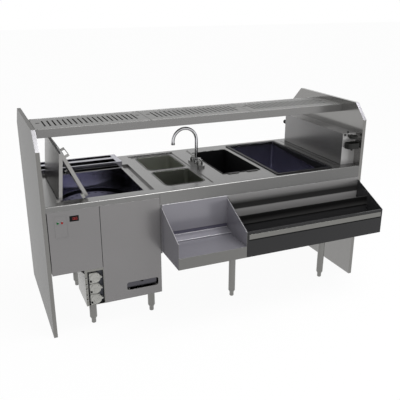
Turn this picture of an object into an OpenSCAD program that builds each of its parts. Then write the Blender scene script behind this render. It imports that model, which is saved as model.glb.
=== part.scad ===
// Bar station in stainless sheet: glass washer, two bowls, tap, bottle well, ice bin and bottle rails.
// X runs along the station from the left end panel, Y from its front edge to the back, Z up from the floor.

/* [Station] */
// Length over both end panels
station_len = 1983; // [1900:1:2400]
// Height of the worktop above the floor, 30 inches
deck_h = 762; // [740:1:800]
// Depth of the worktop
deck_depth = 800; // [790:1:815]
// Thickness of the worktop and body sheet
sheet_t = 2; // [1.5:0.5:3]
// Width of the glass washer module, 24 inches, with its end panel
module_w = 631; // [631:1:640]

/* [End panels] */
// Thickness of an end panel
panel_t = 20.5; // [16:0.5:25]
// Depth of an end panel
panel_depth = 824; // [820:1:900]
// Height of an end panel
panel_h = 1145; // [1140:1:1300]
// Skin of the hollow end panel
panel_skin = 2; // [1.5:0.5:4]
// Length of the sloping front corner along the top
front_corner_len = 89; // [40:1:120]
// Height of the sloping front corner
front_corner_h = 94; // [40:1:110]
// Length of the sloping back corner along the top
back_corner_len = 108; // [40:1:150]
// Height of the sloping back corner
back_corner_h = 102; // [40:1:120]
// Radius of the weep holes in the bottom of a panel
weep_r = 5; // [3:0.5:8]

/* [Worktop] */
// Height of the front edge over the washer front
apron_h_left = 31; // [20:1:40]
// Height of the front edge over the bottle rails
apron_h = 76; // [60:1:90]
// Height of the flange turned down at the back
back_flange_h = 50; // [30:1:80]
// Left edge of the washer opening
well_x = 110; // [105:1:118]
// Front edge of the washer opening
well_y = 70; // [66:1:80]
// Width of the washer opening
well_w = 453; // [440:1:455]
// Depth of the washer opening from front to back
well_d = 464; // [440:1:466]
// Gap from the washer opening to the lid channel
channel_gap = 14; // [8:1:16]
// Width of the lid channel
channel_w = 46; // [40:1:46]
// Depth of the lid channel below the worktop
channel_depth = 14; // [14:1:20]
// Width of the dark slot behind the washer opening
slot_d = 50; // [30:1:52]
// Width of the strips of worktop either side of that slot
strip_w = 14; // [10:1:16]
// Left edge of the rear grille opening
grille_x = 40; // [34:1:60]
// Width of the rear grille opening
grille_w = 536; // [500:1:556]
// Depth of the rear grille opening from front to back
grille_d = 160; // [140:1:170]

/* [Bowls] */
// Left edge of the recess round the bowls
recess_x = 680; // [660:1:690]
// Front edge of the recess round the bowls
recess_y = 46; // [40:1:60]
// Width of the recess round the bowls
recess_w = 296; // [285:1:300]
// Depth of the recess from front to back
recess_d = 704; // [690:1:710]
// Drop of the recess below the worktop
recess_drop = 4; // [2:0.5:6]
// Left edge of both bowls
bowl_x = 712; // [705:1:720]
// Width of both bowls
bowl_w = 235; // [215:1:240]
// Front edge of the front bowl
front_bowl_y = 106; // [96:1:110]
// Front to back size of the front bowl
front_bowl_d = 275; // [230:1:280]
// Front edge of the rear bowl
rear_bowl_y = 418; // [412:1:424]
// Front to back size of the rear bowl
rear_bowl_d = 299; // [270:1:302]
// Depth of the bowls, 10 inches
bowl_h = 250; // [150:1:280]
// Radius of the bowls' corners
bowl_r = 28; // [15:1:40]
// Wall of the drawn bowls
bowl_t = 1.6; // [1.2:0.2:3]
// Radius of the drain hole in a bowl
drain_r = 22; // [18:1:26]
// Radius of the drain tailpiece, 1-1/2 inch tube
tailpiece_r = 19.05; // [16:0.05:20]
// Length of the bare end of a drain tailpiece
tailpiece_len = 60; // [40:1:100]

/* [Tap] */
// Distance of the tap from the left end
tap_x = 1027; // [1020:1:1045]
// Distance of the tap from the worktop's front edge
tap_y = 430; // [400:1:450]
// Distance between the two valves, 4 inches
valve_pitch = 101.6; // [90:0.1:130]
// Length of the tap's base plate
tap_plate_len = 190; // [160:1:210]
// Width of the tap's base plate
tap_plate_w = 52; // [46:1:60]
// Thickness of the tap's base plate
tap_plate_h = 12; // [8:1:18]
// Radius of the spout tube
spout_r = 10; // [8:0.5:12]
// Bore radius of the spout tube
spout_bore_r = 8; // [6:0.5:9]
// Radius of the gooseneck bend
spout_bend_r = 77.5; // [60:0.5:90]
// Height of the bend's centre above the worktop
spout_rise = 160; // [120:1:180]
// Length of the straight end of the spout
spout_drop = 8; // [4:1:16]
// Length of a tap lever
lever_len = 78; // [60:1:90]

/* [Bottle well and ice bin] */
// Left edge of the bottle well
well2_x = 1091; // [1085:1:1100]
// Front edge of the bottle well
well2_y = 168; // [160:1:180]
// Width of the bottle well
well2_w = 256; // [240:1:262]
// Front to back size of the bottle well
well2_d = 512; // [480:1:520]
// Depth of the bottle well
well2_h = 190; // [120:1:240]
// Wall of the bottle well
well2_t = 3; // [2:0.5:4]
// Left edge of the ice bin
bin_x = 1401; // [1395:1:1410]
// Front edge of the ice bin
bin_y = 42; // [40:1:50]
// Width of the ice bin
bin_w = 360; // [340:1:366]
// Front to back size of the ice bin
bin_d = 696; // [660:1:700]
// Depth of the ice bin, 12 inches
bin_h = 300; // [250:1:305]
// Radius of the ice bin's corners
bin_r = 10; // [6:1:20]
// Thickness of the insulation
foam_t = 17; // [12:1:18]
// Width of the black rim
rim_w = 17; // [12:1:20]
// Height of the black rim above the worktop
rim_h = 5; // [3:0.5:8]
// Radius of the ice bin's drain tube, 1 inch pipe
bin_drain_r = 16.7; // [12:0.1:20]

/* [Overshelf] */
// Drop of the shelf's top below the panels' top
shelf_drop = 33; // [25:1:45]
// Front edge of the shelf
shelf_y = 228; // [200:1:240]
// Depth of the shelf
shelf_d = 296; // [280:1:310]
// Height of the shelf's fascia
fascia_h = 45; // [35:1:60]
// Width of the shelf's top border
shelf_border = 16; // [12:1:20]
// Thickness of a drain grate
grate_t = 3; // [2:0.5:4]
// Gap between two grates and round them
grate_gap = 3; // [2:0.5:5]
// Spacing of the grate slots
slot_pitch = 28.5; // [24:0.5:40]
// Width of a grate slot
slot_w = 9; // [6:0.5:14]
// Length of a grate slot
slot_len = 152; // [120:1:180]

/* [Washer lid] */
// Lean of the lower leaf from upright when the lid stands open
lid_lean = 5; // [3:0.5:8]
// Distance from the deck pivot to the fold
leaf_a = 243; // [225:1:246]
// Distance from the fold to the sliding edge
leaf_b = 267.5; // [262:0.5:272]
// Front to back size of the lid
lid_w = 476; // [470:1:478]
// Height of the lid when it lies closed
lid_t = 19; // [16:0.5:19]
// Sheet of the lid
lid_sheet = 1.5; // [1.2:0.1:2]
// Height of the pivot above the worktop
pivot_h = 10; // [9:0.5:12]
// Radius of the lid pins
lid_pin_r = 3; // [2.5:0.25:3.5]
// Running clearance of a pin in its hole
pin_gap = 0.08; // [0.05:0.01:0.1]

/* [Washer body] */
// Height of the bottom of the control panel above the floor
body_low = 374; // [340:1:400]
// Height of the washer's underside above the floor
body_foot = 153; // [140:1:165]
// Left edge of the pump bay
bay_x = 193; // [185:1:200]
// Left edge of the service panel
column_x = 296; // [294:1:300]
// Depth of the washer's lower column
body_d = 618; // [600:1:630]
// Depth of the pump bay
bay_d = 225; // [200:1:260]
// Gap between front panels
seam = 1.5; // [1:0.25:3]
// Left edge of the scrap tray's slot
tray_slot_x = 425; // [415:1:430]
// Width of the scrap tray's slot
tray_slot_w = 185; // [160:1:188]
// Bottom of the scrap tray's slot
tray_slot_z = 204; // [195:1:210]
// Height of the scrap tray's slot
tray_slot_h = 48; // [44:1:52]
// Length of the scrap tray
tray_len = 330; // [250:1:400]
// Height of the glass carousel above the floor
carousel_z = 652; // [640:1:680]
// Radius of the glass carousel
carousel_r = 212; // [200:1:214]
// Spacing of the dosing pumps
pump_pitch = 65; // [64:0.5:66]
// Radius of a dosing pump's head
pump_r = 31; // [26:0.5:31.5]

/* [Bottle rails] */
// Reach of the bottle rails in front of the worktop
rail_reach = 254; // [230:1:280]
// Height of the rails' underside above the floor
rail_foot = 405; // [390:1:420]
// Height of the stainless rail's front lip
lip_h = 66; // [50:1:80]
// Height of the rails' side plates at the front
side_h = 150; // [120:1:160]
// Height of the rails' side plates at the back
side_back_h = 266; // [250:1:275]
// Left edge of the stainless rail
rail_x = 640; // [636:1:645]
// Length of the stainless rail
rail_len = 404; // [380:1:405]
// Reach of the black rail's rear tier
tier_reach = 112; // [90:1:130]

/* [Hose chase] */
// Width of the chase
chase_w = 97; // [80:1:100]
// Height of the chase
chase_h = 198; // [180:1:220]
// Front face of the chase
chase_y = 62; // [50:1:70]
// Depth of the chase
chase_d = 684; // [640:1:690]

/* [Legs] */
// Radius of a leg tube
leg_r = 20.6; // [19:0.1:22]
// Wall of a leg tube
leg_wall = 1.5; // [1.2:0.1:2]
// Height of a leg tube's lower end
leg_foot = 44; // [36:1:50]

/* [Hidden] */
$fn = 48;

// Overrun that carries a cut past a face
cut = 1;
// Inner faces of the end panels
xl = panel_t;
xr = station_len - panel_t;
// Top of the overshelf
shelf_h = panel_h - shelf_drop;
// Underside of the worktop sheet
deck_under = deck_h - sheet_t;

// Box between two corners
module block(x0, x1, y0, y1, z0, z1) {
    translate([x0, y0, z0]) cube([x1 - x0, y1 - y0, z1 - z0]);
}

// Moves the station so that the middle of its footprint is the origin
module placed() {
    translate([-station_len / 2, -(panel_depth - rail_reach - strip_t) / 2, 0]) children();
}

// Outline in Y and Z, drawn out along X
module along_x(x0, x1) {
    translate([x0, 0, 0]) rotate([90, 0, 90]) linear_extrude(x1 - x0) children();
}

// Outline in X and Z, drawn out along Y
module along_y(y0, y1) {
    translate([0, y1, 0]) rotate([90, 0, 0]) linear_extrude(y1 - y0) children();
}

// Rectangle with round corners
module round_rect(w, d, r) {
    translate([r, 0]) square([w - 2 * r, d]);
    translate([0, r]) square([w, d - 2 * r]);
    for (x = [r, w - r], y = [r, d - r]) translate([x, y]) circle(r);
}

// Slot with round ends, centred, its length along Y
module stadium(len, w) {
    translate([-w / 2, -(len - w) / 2]) square([w, len - w]);
    for (s = [-1, 1]) translate([0, s * (len - w) / 2]) circle(w / 2);
}

// Solid with round upright corners and a round bottom edge, as a drawn bowl has
module drawn_solid(w, d, h, r) {
    translate([0, 0, r]) linear_extrude(h - r) round_rect(w, d, r);
    translate([r, r, 0]) cube([w - 2 * r, d - 2 * r, h]);
    for (y = [r, d - r]) {
        translate([r, y, r]) rotate([0, 90, 0]) cylinder(h = w - 2 * r, r = r);
        for (x = [r, w - r]) translate([x, y, r]) sphere(r);
    }
    for (x = [r, w - r]) translate([x, r, r]) rotate([-90, 0, 0])
        cylinder(h = d - 2 * r, r = r);
}

// Open bowl with a flat flange round its mouth, its inside at the origin corner
module drawn_bowl(w, d, h, r, t, flange) {
    difference() {
        union() {
            translate([-t, -t, -h - t]) drawn_solid(w + 2 * t, d + 2 * t, h + t, r + t);
            translate([-flange, -flange, -t]) linear_extrude(t)
                round_rect(w + 2 * flange, d + 2 * flange, r);
        }
        translate([0, 0, -h]) drawn_solid(w, d, h + r, r);
    }
}

// End panels: hollow folded sheet with sloping corners and a weep hole at each end of the bottom
module panel_outline(inset) {
    polygon([
        [inset, inset],
        [panel_depth - inset, inset],
        [panel_depth - inset, panel_h - back_corner_h - inset],
        [panel_depth - back_corner_len - inset, panel_h - inset],
        [front_corner_len + inset, panel_h - inset],
        [inset, panel_h - front_corner_h - inset]
    ]);
}
weep_share = 0.1;
module end_panel(x0) {
    difference() {
        along_x(x0, x0 + panel_t) panel_outline(0);
        along_x(x0 + panel_skin, x0 + panel_t - panel_skin) panel_outline(panel_skin);
        for (s = [weep_share, 1 - weep_share]) translate([x0 + panel_t / 2, s * panel_depth, -cut])
            cylinder(h = panel_skin + 2 * cut, r = weep_r);
    }
}
module left_end_panel() {
    color([0.6, 0.6, 0.57]) end_panel(0);
}
module right_end_panel() {
    color([0.6, 0.6, 0.57]) end_panel(station_len - panel_t);
}

// Worktop with its openings
channel_x = well_x + well_w + channel_gap;
channel_lap = 10;
channel_y = well_y - channel_lap;
channel_d = well_d + strip_w + slot_d + channel_lap;
slot_y = well_y + well_d + strip_w;
grille_y = slot_y + slot_d + strip_w;
tap_hole_r = 14;
nose_r = 8;
ledge_y = recess_y + recess_d;
ledge_d = 22;
ledge_h = 4;
ledge_over = 6;
module cut_through(x, y, w, d) {
    block(x, x + w, y, y + d, deck_h - recess_drop - 2 * sheet_t - cut, deck_h + cut);
}
module pocket_walls(x, y, w, d, drop) {
    block(x - sheet_t, x + w + sheet_t, y - sheet_t, y + d + sheet_t, deck_under - drop, deck_under);
}
module pocket_space(x, y, w, d, drop) {
    block(x, x + w, y, y + d, deck_h - drop, deck_h + cut);
}
module rolled_edge(x0, x1) {
    along_x(x0, x1) difference() {
        intersection() {
            translate([nose_r, deck_h - nose_r]) circle(nose_r);
            translate([0, deck_h - nose_r]) square([nose_r, nose_r]);
        }
        translate([nose_r, deck_h - nose_r]) circle(nose_r - sheet_t);
    }
}
module bowl_mouth(y, d) {
    translate([bowl_x, y, deck_h - recess_drop - 2 * sheet_t])
        linear_extrude(recess_drop + 3 * sheet_t) round_rect(bowl_w, d, bowl_r);
}
module worktop() {
    color([0.66, 0.66, 0.65]) difference() {
        union() {
            block(xl, xr, nose_r, deck_depth, deck_under, deck_h);
            rolled_edge(xl, xr);
            block(xl, module_w, 0, sheet_t, deck_h - apron_h_left, deck_h - nose_r);
            block(module_w, xr, 0, sheet_t, deck_h - apron_h, deck_h - nose_r);
            block(xl, xr, deck_depth - sheet_t, deck_depth, deck_h - back_flange_h, deck_h);
            pocket_walls(channel_x, channel_y, channel_w, channel_d, channel_depth);
            pocket_walls(recess_x, recess_y, recess_w, recess_d, recess_drop);
            block(recess_x - ledge_over, recess_x + recess_w + ledge_over, ledge_y, ledge_y + ledge_d,
                deck_h, deck_h + ledge_h);
        }
        pocket_space(channel_x, channel_y, channel_w, channel_d, channel_depth);
        pocket_space(recess_x, recess_y, recess_w, recess_d, recess_drop);
        cut_through(well_x, well_y, well_w, well_d);
        cut_through(well_x, slot_y, well_w, slot_d);
        cut_through(grille_x, grille_y, grille_w, grille_d);
        cut_through(well2_x, well2_y, well2_w, well2_d);
        cut_through(bin_x - bowl_t, bin_y - bowl_t, bin_w + 2 * bowl_t, bin_d + 2 * bowl_t);
        bowl_mouth(front_bowl_y, front_bowl_d);
        bowl_mouth(rear_bowl_y, rear_bowl_d);
        for (s = [-1, 1]) translate([tap_x, tap_y + s * valve_pitch / 2, deck_under - cut])
            cylinder(h = sheet_t + 2 * cut, r = tap_hole_r);
    }
}

// Channels under the worktop that stiffen it and take the legs
frame_w = 40;
frame_h = 56;
frame_y = 24;
foam_x0 = bin_x - bowl_t - foam_t;
foam_x1 = bin_x + bin_w + bowl_t + foam_t;
foam_y0 = bin_y - bowl_t - foam_t;
foam_y1 = bin_y + bin_d + bowl_t + foam_t;
foam_z0 = deck_under - bin_h - bowl_t - foam_t;
module hat_rail(x0, x1, y) {
    along_x(x0, x1) difference() {
        translate([y, deck_under - frame_h]) square([frame_w, frame_h]);
        translate([y + sheet_t, deck_under - frame_h + sheet_t]) square([frame_w - 2 * sheet_t, frame_h]);
    }
}
rear_rail_y = deck_depth - sheet_t - frame_w;
module under_frame() {
    color([0.5, 0.5, 0.5]) difference() {
        union() {
            hat_rail(module_w, foam_x0 - sheet_t, frame_y);
            hat_rail(module_w, xr, rear_rail_y);
            hat_rail(foam_x1 + sheet_t, xr, frame_y);
        }
        block(recess_x - sheet_t, recess_x + recess_w + sheet_t, recess_y - sheet_t, ledge_y,
            deck_under - recess_drop, deck_h);
    }
}

// Legs: two rows under the washer, and a pair each under the worktop and the ice bin
leg_front_y = 46;
leg_rear_y = rear_rail_y + frame_w / 2;
leg_mid_x = 1105;
leg_right_x = 1757;
wash_leg_x = [239, 588];
wash_leg_y = [77, 560];
flange_r = 34;
flange_t = 4;
flange_gap = 0.4;
LEGS = [
    [wash_leg_x[0], wash_leg_y[0], body_foot],
    [wash_leg_x[1], wash_leg_y[0], body_foot],
    [wash_leg_x[0], wash_leg_y[1], body_low],
    [wash_leg_x[1], wash_leg_y[1], body_foot],
    [leg_mid_x, leg_front_y, deck_under - frame_h],
    [leg_mid_x, leg_rear_y, deck_under - frame_h],
    [leg_right_x, leg_front_y, foam_z0],
    [leg_right_x, leg_rear_y, deck_under - frame_h]
];
module leg_tube(h) {
    rotate_extrude() {
        translate([leg_r - leg_wall, leg_foot]) square([leg_wall, h - leg_foot]);
        translate([0, h - flange_t]) square([flange_r, flange_t]);
    }
}
module leg_tubes() {
    color([0.62, 0.62, 0.61]) difference() {
        for (p = LEGS) translate([p[0], p[1], 0]) leg_tube(p[2]);
        block(foam_x0, foam_x1, foam_y0, foam_y1 + flange_gap, foam_z0 + flange_t, deck_under);
    }
}

// Bullet feet that plug into the tubes
foot_r = 13;
foot_round = 3;
foot_neck_h = 24;
foot_shoulder_h = 38;
foot_plug_h = 66;
foot_gap = 0.3;
module bullet_feet() {
    color([0.45, 0.45, 0.45]) for (p = LEGS) translate([p[0], p[1], 0]) rotate_extrude() polygon([
        [0, 0],
        [foot_r - foot_round, 0],
        [foot_r, foot_round],
        [foot_r, foot_neck_h],
        [leg_r - leg_wall, foot_shoulder_h],
        [leg_r, foot_shoulder_h + leg_wall],
        [leg_r, leg_foot],
        [leg_r - leg_wall - foot_gap, leg_foot],
        [leg_r - leg_wall - foot_gap, foot_plug_h],
        [0, foot_plug_h]
    ]);
}

// Overshelf: a folded tray from panel to panel
grate_seat = shelf_h - grate_t;
shelf_floor_drop = 26;
tray_x0 = xl + shelf_border;
tray_x1 = xr - shelf_border;
module overshelf_tray() {
    color([0.64, 0.64, 0.63]) difference() {
        union() {
            block(xl, xr, shelf_y, shelf_y + shelf_d, shelf_h - shelf_floor_drop - sheet_t, shelf_h);
            block(xl, xr, shelf_y, shelf_y + sheet_t, shelf_h - fascia_h, shelf_h);
            block(xl, xr, shelf_y + shelf_d - sheet_t, shelf_y + shelf_d, shelf_h - fascia_h, shelf_h);
        }
        block(tray_x0, tray_x1, shelf_y + shelf_border, shelf_y + shelf_d - shelf_border,
            grate_seat, shelf_h + cut);
        difference() {
            block(tray_x0 + shelf_border / 2, tray_x1 - shelf_border / 2,
                shelf_y + 1.5 * shelf_border, shelf_y + shelf_d - 1.5 * shelf_border,
                shelf_h - shelf_floor_drop, shelf_h);
            for (k = [1, 2]) translate([grate_x(k) - grate_gap / 2, 0, 0])
                block(-shelf_border, shelf_border, 0, panel_depth, 0, grate_seat);
        }
    }
}

// Three slotted drain grates that lie in the tray
grate_len = (tray_x1 - tray_x0 - 4 * grate_gap) / 3;
function grate_x(k) = tray_x0 + grate_gap + k * (grate_len + grate_gap);
grate_y0 = shelf_y + shelf_border + grate_gap;
grate_y1 = shelf_y + shelf_d - shelf_border - grate_gap;
grate_mid_y = (grate_y0 + grate_y1) / 2;
finger_len = 24;
finger_x = 31;
finger_y = 400;
end_margin = 50;
slot_count = floor((grate_len - 2 * end_margin) / slot_pitch);
slot_first = (grate_len - slot_count * slot_pitch) / 2;
module drain_grate(k) {
    color([0.6, 0.6, 0.58]) translate([grate_x(k), 0, grate_seat]) linear_extrude(grate_t) difference() {
        translate([0, grate_y0]) square([grate_len, grate_y1 - grate_y0]);
        for (i = [0 : slot_count]) translate([slot_first + i * slot_pitch, grate_mid_y])
            stadium(slot_len, slot_w);
        for (x = [finger_x, grate_len - finger_x]) translate([x, finger_y]) rotate(90)
            stadium(finger_len, 2 * slot_w);
    }
}
module drain_grate_left() {
    drain_grate(0);
}
module drain_grate_centre() {
    drain_grate(1);
}
module drain_grate_right() {
    drain_grate(2);
}

// Washer body: folded sheet, wide above, a column below and a bay for the dosing pumps
side_gap = 4;
body_x0 = xl + side_gap;
body_x1 = module_w - sheet_t;
body_y0 = sheet_t;
body_y1 = deck_depth - sheet_t;
body_top = deck_h - apron_h_left;
bay_frame = 14;
bay_top = body_low - bay_frame;
bay_slope_drop = 7;
bay_slope_h = 84;
tray_gap = 4;
tray_back = 16;
tray_w = tray_slot_w - 2 * tray_gap;
tray_x = tray_slot_x + tray_gap;
tray_z = tray_slot_z + tray_gap;
tray_h = tray_slot_h - 2 * tray_gap;
module slot_window(grow) {
    translate([tray_slot_x - grow, tray_slot_z - grow])
        round_rect(tray_slot_w + 2 * grow, tray_slot_h + 2 * grow, tray_slot_h / 4);
}
module washer_cabinet() {
    color([0.58, 0.58, 0.57]) {
        difference() {
            union() {
                block(body_x0, body_x1, body_y0, body_y1, body_low, deck_h - nose_r);
                block(body_x0, body_x1, nose_r, body_y1, body_low, deck_under);
                block(column_x, body_x1, body_y0, body_d, body_foot, body_low);
                block(bay_x, column_x, body_y0, bay_d, body_foot, body_low);
            }
            block(body_x0 + sheet_t, body_x1 - sheet_t, body_y0 + sheet_t, body_y1 - sheet_t,
                body_low + sheet_t, deck_h);
            block(column_x + sheet_t, body_x1 - sheet_t, body_y0 + sheet_t, body_d - sheet_t,
                body_foot + sheet_t, deck_h);
            block(bay_x + sheet_t, column_x - sheet_t, body_y0 + sheet_t, bay_d - sheet_t,
                body_foot + sheet_t, body_low - sheet_t);
            block(bay_x + bay_frame, column_x - sheet_t, 0, bay_d / 2, body_foot + sheet_t, bay_top);
            along_x(bay_x - cut, bay_x + sheet_t + cut) polygon([
                [body_y0 + sheet_t, bay_top - bay_slope_drop],
                [bay_d - sheet_t, bay_top - bay_slope_h],
                [bay_d - sheet_t, body_low],
                [body_y0 + sheet_t, body_low]
            ]);
            along_y(0, 2 * body_y0 + cut) slot_window(sheet_t);
            button_hole(start_x, start_z, body_y0 + 2 * sheet_t);
            button_hole(stop_x, stop_z, body_y0 + 2 * sheet_t);
            along_y(0, 2 * body_y0 + cut) translate([display_x, display_z]) square([display_w, display_h]);
        }
        for (x = [tray_x, tray_x + tray_w - bay_frame])
            block(x, x + bay_frame, body_y0 + sheet_t, tray_len + 2 * bay_frame,
                body_foot + sheet_t, tray_z - tray_gap / 8);
    }
}

// Service panel on the column, with the scrap tray's slot
module service_panel() {
    color([0.62, 0.62, 0.61]) along_y(0, body_y0) difference() {
        translate([column_x + seam, body_foot]) square([module_w - column_x - seam, body_top - body_foot]);
        slot_window(0);
    }
}

// Control panel with its two buttons and the display
start_x = 75;
start_z = 669;
stop_x = 97;
stop_z = 668;
button_r = 6;
button_gap = 0.3;
button_cap = 4;
display_x = 140;
display_z = 671;
display_w = 42;
display_h = 25;
module button_hole(x, z, depth) {
    translate([x, depth + cut, z]) rotate([90, 0, 0])
        cylinder(h = depth + 2 * cut, r = button_r + button_gap);
}
module control_panel() {
    color([0.62, 0.62, 0.61]) difference() {
        block(body_x0, column_x - seam, 0, body_y0, body_low, body_top);
        button_hole(start_x, start_z, body_y0);
        button_hole(stop_x, stop_z, body_y0);
        along_y(-cut, body_y0 + cut) translate([display_x, display_z]) square([display_w, display_h]);
    }
}
bezel_w = 3;
bezel_out = 1;
module display_bezel() {
    color([0.08, 0.08, 0.09]) difference() {
        union() {
            block(display_x - bezel_w, display_x + display_w + bezel_w, -bezel_out, 0,
                display_z - bezel_w, display_z + display_h + bezel_w);
            block(display_x, display_x + display_w, -bezel_out, 4 * sheet_t,
                display_z, display_z + display_h);
        }
        block(window_x, window_x + window_w, -bezel_out - cut, sheet_t, window_z, window_z + window_h);
    }
}
window_x = display_x + 3 * bezel_w;
window_z = display_z + bezel_w;
window_w = display_w - 4 * bezel_w;
window_h = display_h - 2 * bezel_w;
module display_window() {
    color([0.35, 0.05, 0.06])
        block(window_x, window_x + window_w, -bezel_out / 2, sheet_t, window_z, window_z + window_h);
}
module push_button(x, z) {
    translate([x, 0, z]) rotate([90, 0, 0]) {
        translate([0, 0, -4 * sheet_t])
            cylinder(h = 4 * sheet_t + button_cap - button_gap, r = button_r - button_gap);
        translate([0, 0, button_cap - button_gap]) intersection() {
            cylinder(h = button_r, r = button_r - button_gap);
            translate([0, 0, button_gap - 2 * button_r]) sphere(2 * button_r + button_gap);
        }
    }
}
module start_button() {
    color([0.1, 0.45, 0.2]) push_button(start_x, start_z);
}
module stop_button() {
    color([0.7, 0.1, 0.12]) push_button(stop_x, stop_z);
}

// Wash tub: a square mouth over a round well with a shaft tower
tub_ledge_drop = 26;
tub_ledge = carousel_z - tub_ledge_drop;
tub_floor = 540;
tub_r = carousel_r + 8;
tub_cx = well_x + well_w / 2;
tub_cy = well_y + well_d / 2;
tub_t = 2;
shaft_r = 10;
tower_r = 17;
sump_r = 24;
sump_x = tub_cx + tub_r / 2;
sump_y = tub_cy + tub_r / 2;
module wash_tub() {
    color([0.3, 0.3, 0.36]) difference() {
        union() {
            block(well_x - tub_t, well_x + well_w + tub_t, well_y - tub_t, well_y + well_d + tub_t,
                tub_ledge - tub_t, deck_under);
            translate([tub_cx, tub_cy, tub_floor - tub_t])
                cylinder(h = tub_ledge - tub_floor, r = tub_r + tub_t, $fn = 96);
            translate([tub_cx, tub_cy, tub_floor - 3 * tub_t]) cylinder(h = 3 * tub_t, r = tower_r + tub_t);
        }
        block(well_x, well_x + well_w, well_y, well_y + well_d, tub_ledge, deck_h);
        difference() {
            translate([tub_cx, tub_cy, tub_floor]) cylinder(h = tub_ledge, r = tub_r, $fn = 96);
            translate([tub_cx, tub_cy, tub_floor - cut])
                cylinder(h = tub_ledge - tub_floor - tower_r, r = tower_r);
        }
        translate([tub_cx, tub_cy, tub_floor - 4 * tub_t]) cylinder(h = tub_ledge, r = shaft_r + pin_gap);
        translate([sump_x, sump_y, tub_floor - 4 * tub_t]) cylinder(h = 8 * tub_t, r = sump_r);
    }
}

// Glass carousel: a dished disc with a rim, hub and drive shaft
hub_r = 34;
hub_h = 10;
carousel_t = 4;
carousel_rim = 12;
drain_hole_r = 7;
drain_ring_share = 0.72;
drain_holes = 24;
shaft_low = 492;
module glass_carousel() {
    color([0.4, 0.4, 0.46]) translate([tub_cx, tub_cy, 0]) difference() {
        union() {
            rotate_extrude($fn = 96) polygon([
                [0, carousel_z - carousel_t],
                [carousel_r, carousel_z - carousel_t],
                [carousel_r, carousel_z + carousel_rim],
                [carousel_r - carousel_t, carousel_z + carousel_rim],
                [carousel_r - carousel_t, carousel_z],
                [hub_r + hub_h, carousel_z],
                [hub_r, carousel_z + hub_h],
                [0, carousel_z + hub_h]
            ]);
            translate([0, 0, shaft_low]) cylinder(h = carousel_z - shaft_low, r = shaft_r);
        }
        for (i = [0 : drain_holes - 1]) rotate(i * 360 / drain_holes)
            translate([drain_ring_share * carousel_r, 0, carousel_z - carousel_t - cut])
                cylinder(h = carousel_t + 2 * cut, r = drain_hole_r);
    }
}

// Gear motor that hangs under the tub and turns the carousel's shaft
gearbox_w = 96;
gearbox_h = 44;
motor_r = 32;
motor_len = 92;
gearbox_z1 = tub_floor - 3 * tub_t;
module carousel_gearmotor() {
    color([0.25, 0.26, 0.28]) difference() {
        union() {
            translate([tub_cx, tub_cy, gearbox_z1 - gearbox_h]) linear_extrude(gearbox_h)
                translate([-gearbox_w / 2, -gearbox_w / 2]) round_rect(gearbox_w, gearbox_w, gearbox_h / 4);
            translate([tub_cx, tub_cy + gearbox_w / 2, gearbox_z1 - gearbox_h / 2 - cut]) rotate([-90, 0, 0])
                cylinder(h = motor_len, r = gearbox_h / 2 - cut);
        }
        translate([tub_cx, tub_cy, shaft_low - cut]) cylinder(h = tub_floor, r = shaft_r + pin_gap);
    }
}

// Spray manifold: a ring of tube under the carousel on a riser through the tub's floor
manifold_r = 120;
manifold_tube = 9;
manifold_z = 592;
jet_r = 4;
jets = 8;
module spray_manifold() {
    color([0.6, 0.6, 0.62]) translate([tub_cx, tub_cy, 0]) {
        translate([0, 0, manifold_z - manifold_tube]) rotate_extrude()
            translate([manifold_r - manifold_tube, 0]) square(2 * manifold_tube);
        translate([-manifold_r, 0, tub_floor])
            cylinder(h = manifold_z - tub_floor, r = manifold_tube - cut);
        for (i = [0 : jets - 1]) rotate(i * 360 / jets) translate([manifold_r, 0, manifold_z])
            cylinder(h = manifold_tube + jet_r, r = jet_r);
    }
}

// Wash pump: motor on the column's floor, volute on top and a suction pipe up to the sump
volute_r = 62;
volute_h = 60;
wmotor_r = 50;
wmotor_h = 130;
suction_wall = 3;
wpump_z = body_foot + sheet_t;
module wash_pump() {
    color([0.2, 0.22, 0.26]) translate([sump_x, sump_y, wpump_z]) difference() {
        union() {
            cylinder(h = wmotor_h, r = wmotor_r);
            translate([0, 0, wmotor_h]) cylinder(h = volute_h, r = volute_r);
            cylinder(h = tub_floor - tub_t - wpump_z, r = sump_r + suction_wall);
            translate([0, volute_r / 2, wmotor_h + volute_h / 2]) rotate([0, 90, 0])
                cylinder(h = volute_r + wmotor_r, r = 2 * manifold_tube);
        }
        translate([0, 0, wmotor_h + suction_wall]) cylinder(h = tub_floor, r = sump_r);
    }
}

// Scrap tray that slides out of the slot
tray_t = 1.5;
tray_grip_h = 14;
module scrap_tray() {
    color([0.6, 0.6, 0.6]) translate([tray_x, body_y0 + tray_back, tray_z]) difference() {
        cube([tray_w, tray_len, tray_h]);
        translate([tray_t, tray_t, tray_t]) cube([tray_w - 2 * tray_t, tray_len - 2 * tray_t, tray_h]);
        translate([tray_w / 2, 2 * tray_t, tray_h]) rotate([90, 0, 0])
            cylinder(h = 4 * tray_t, r = tray_grip_h);
    }
}

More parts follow.
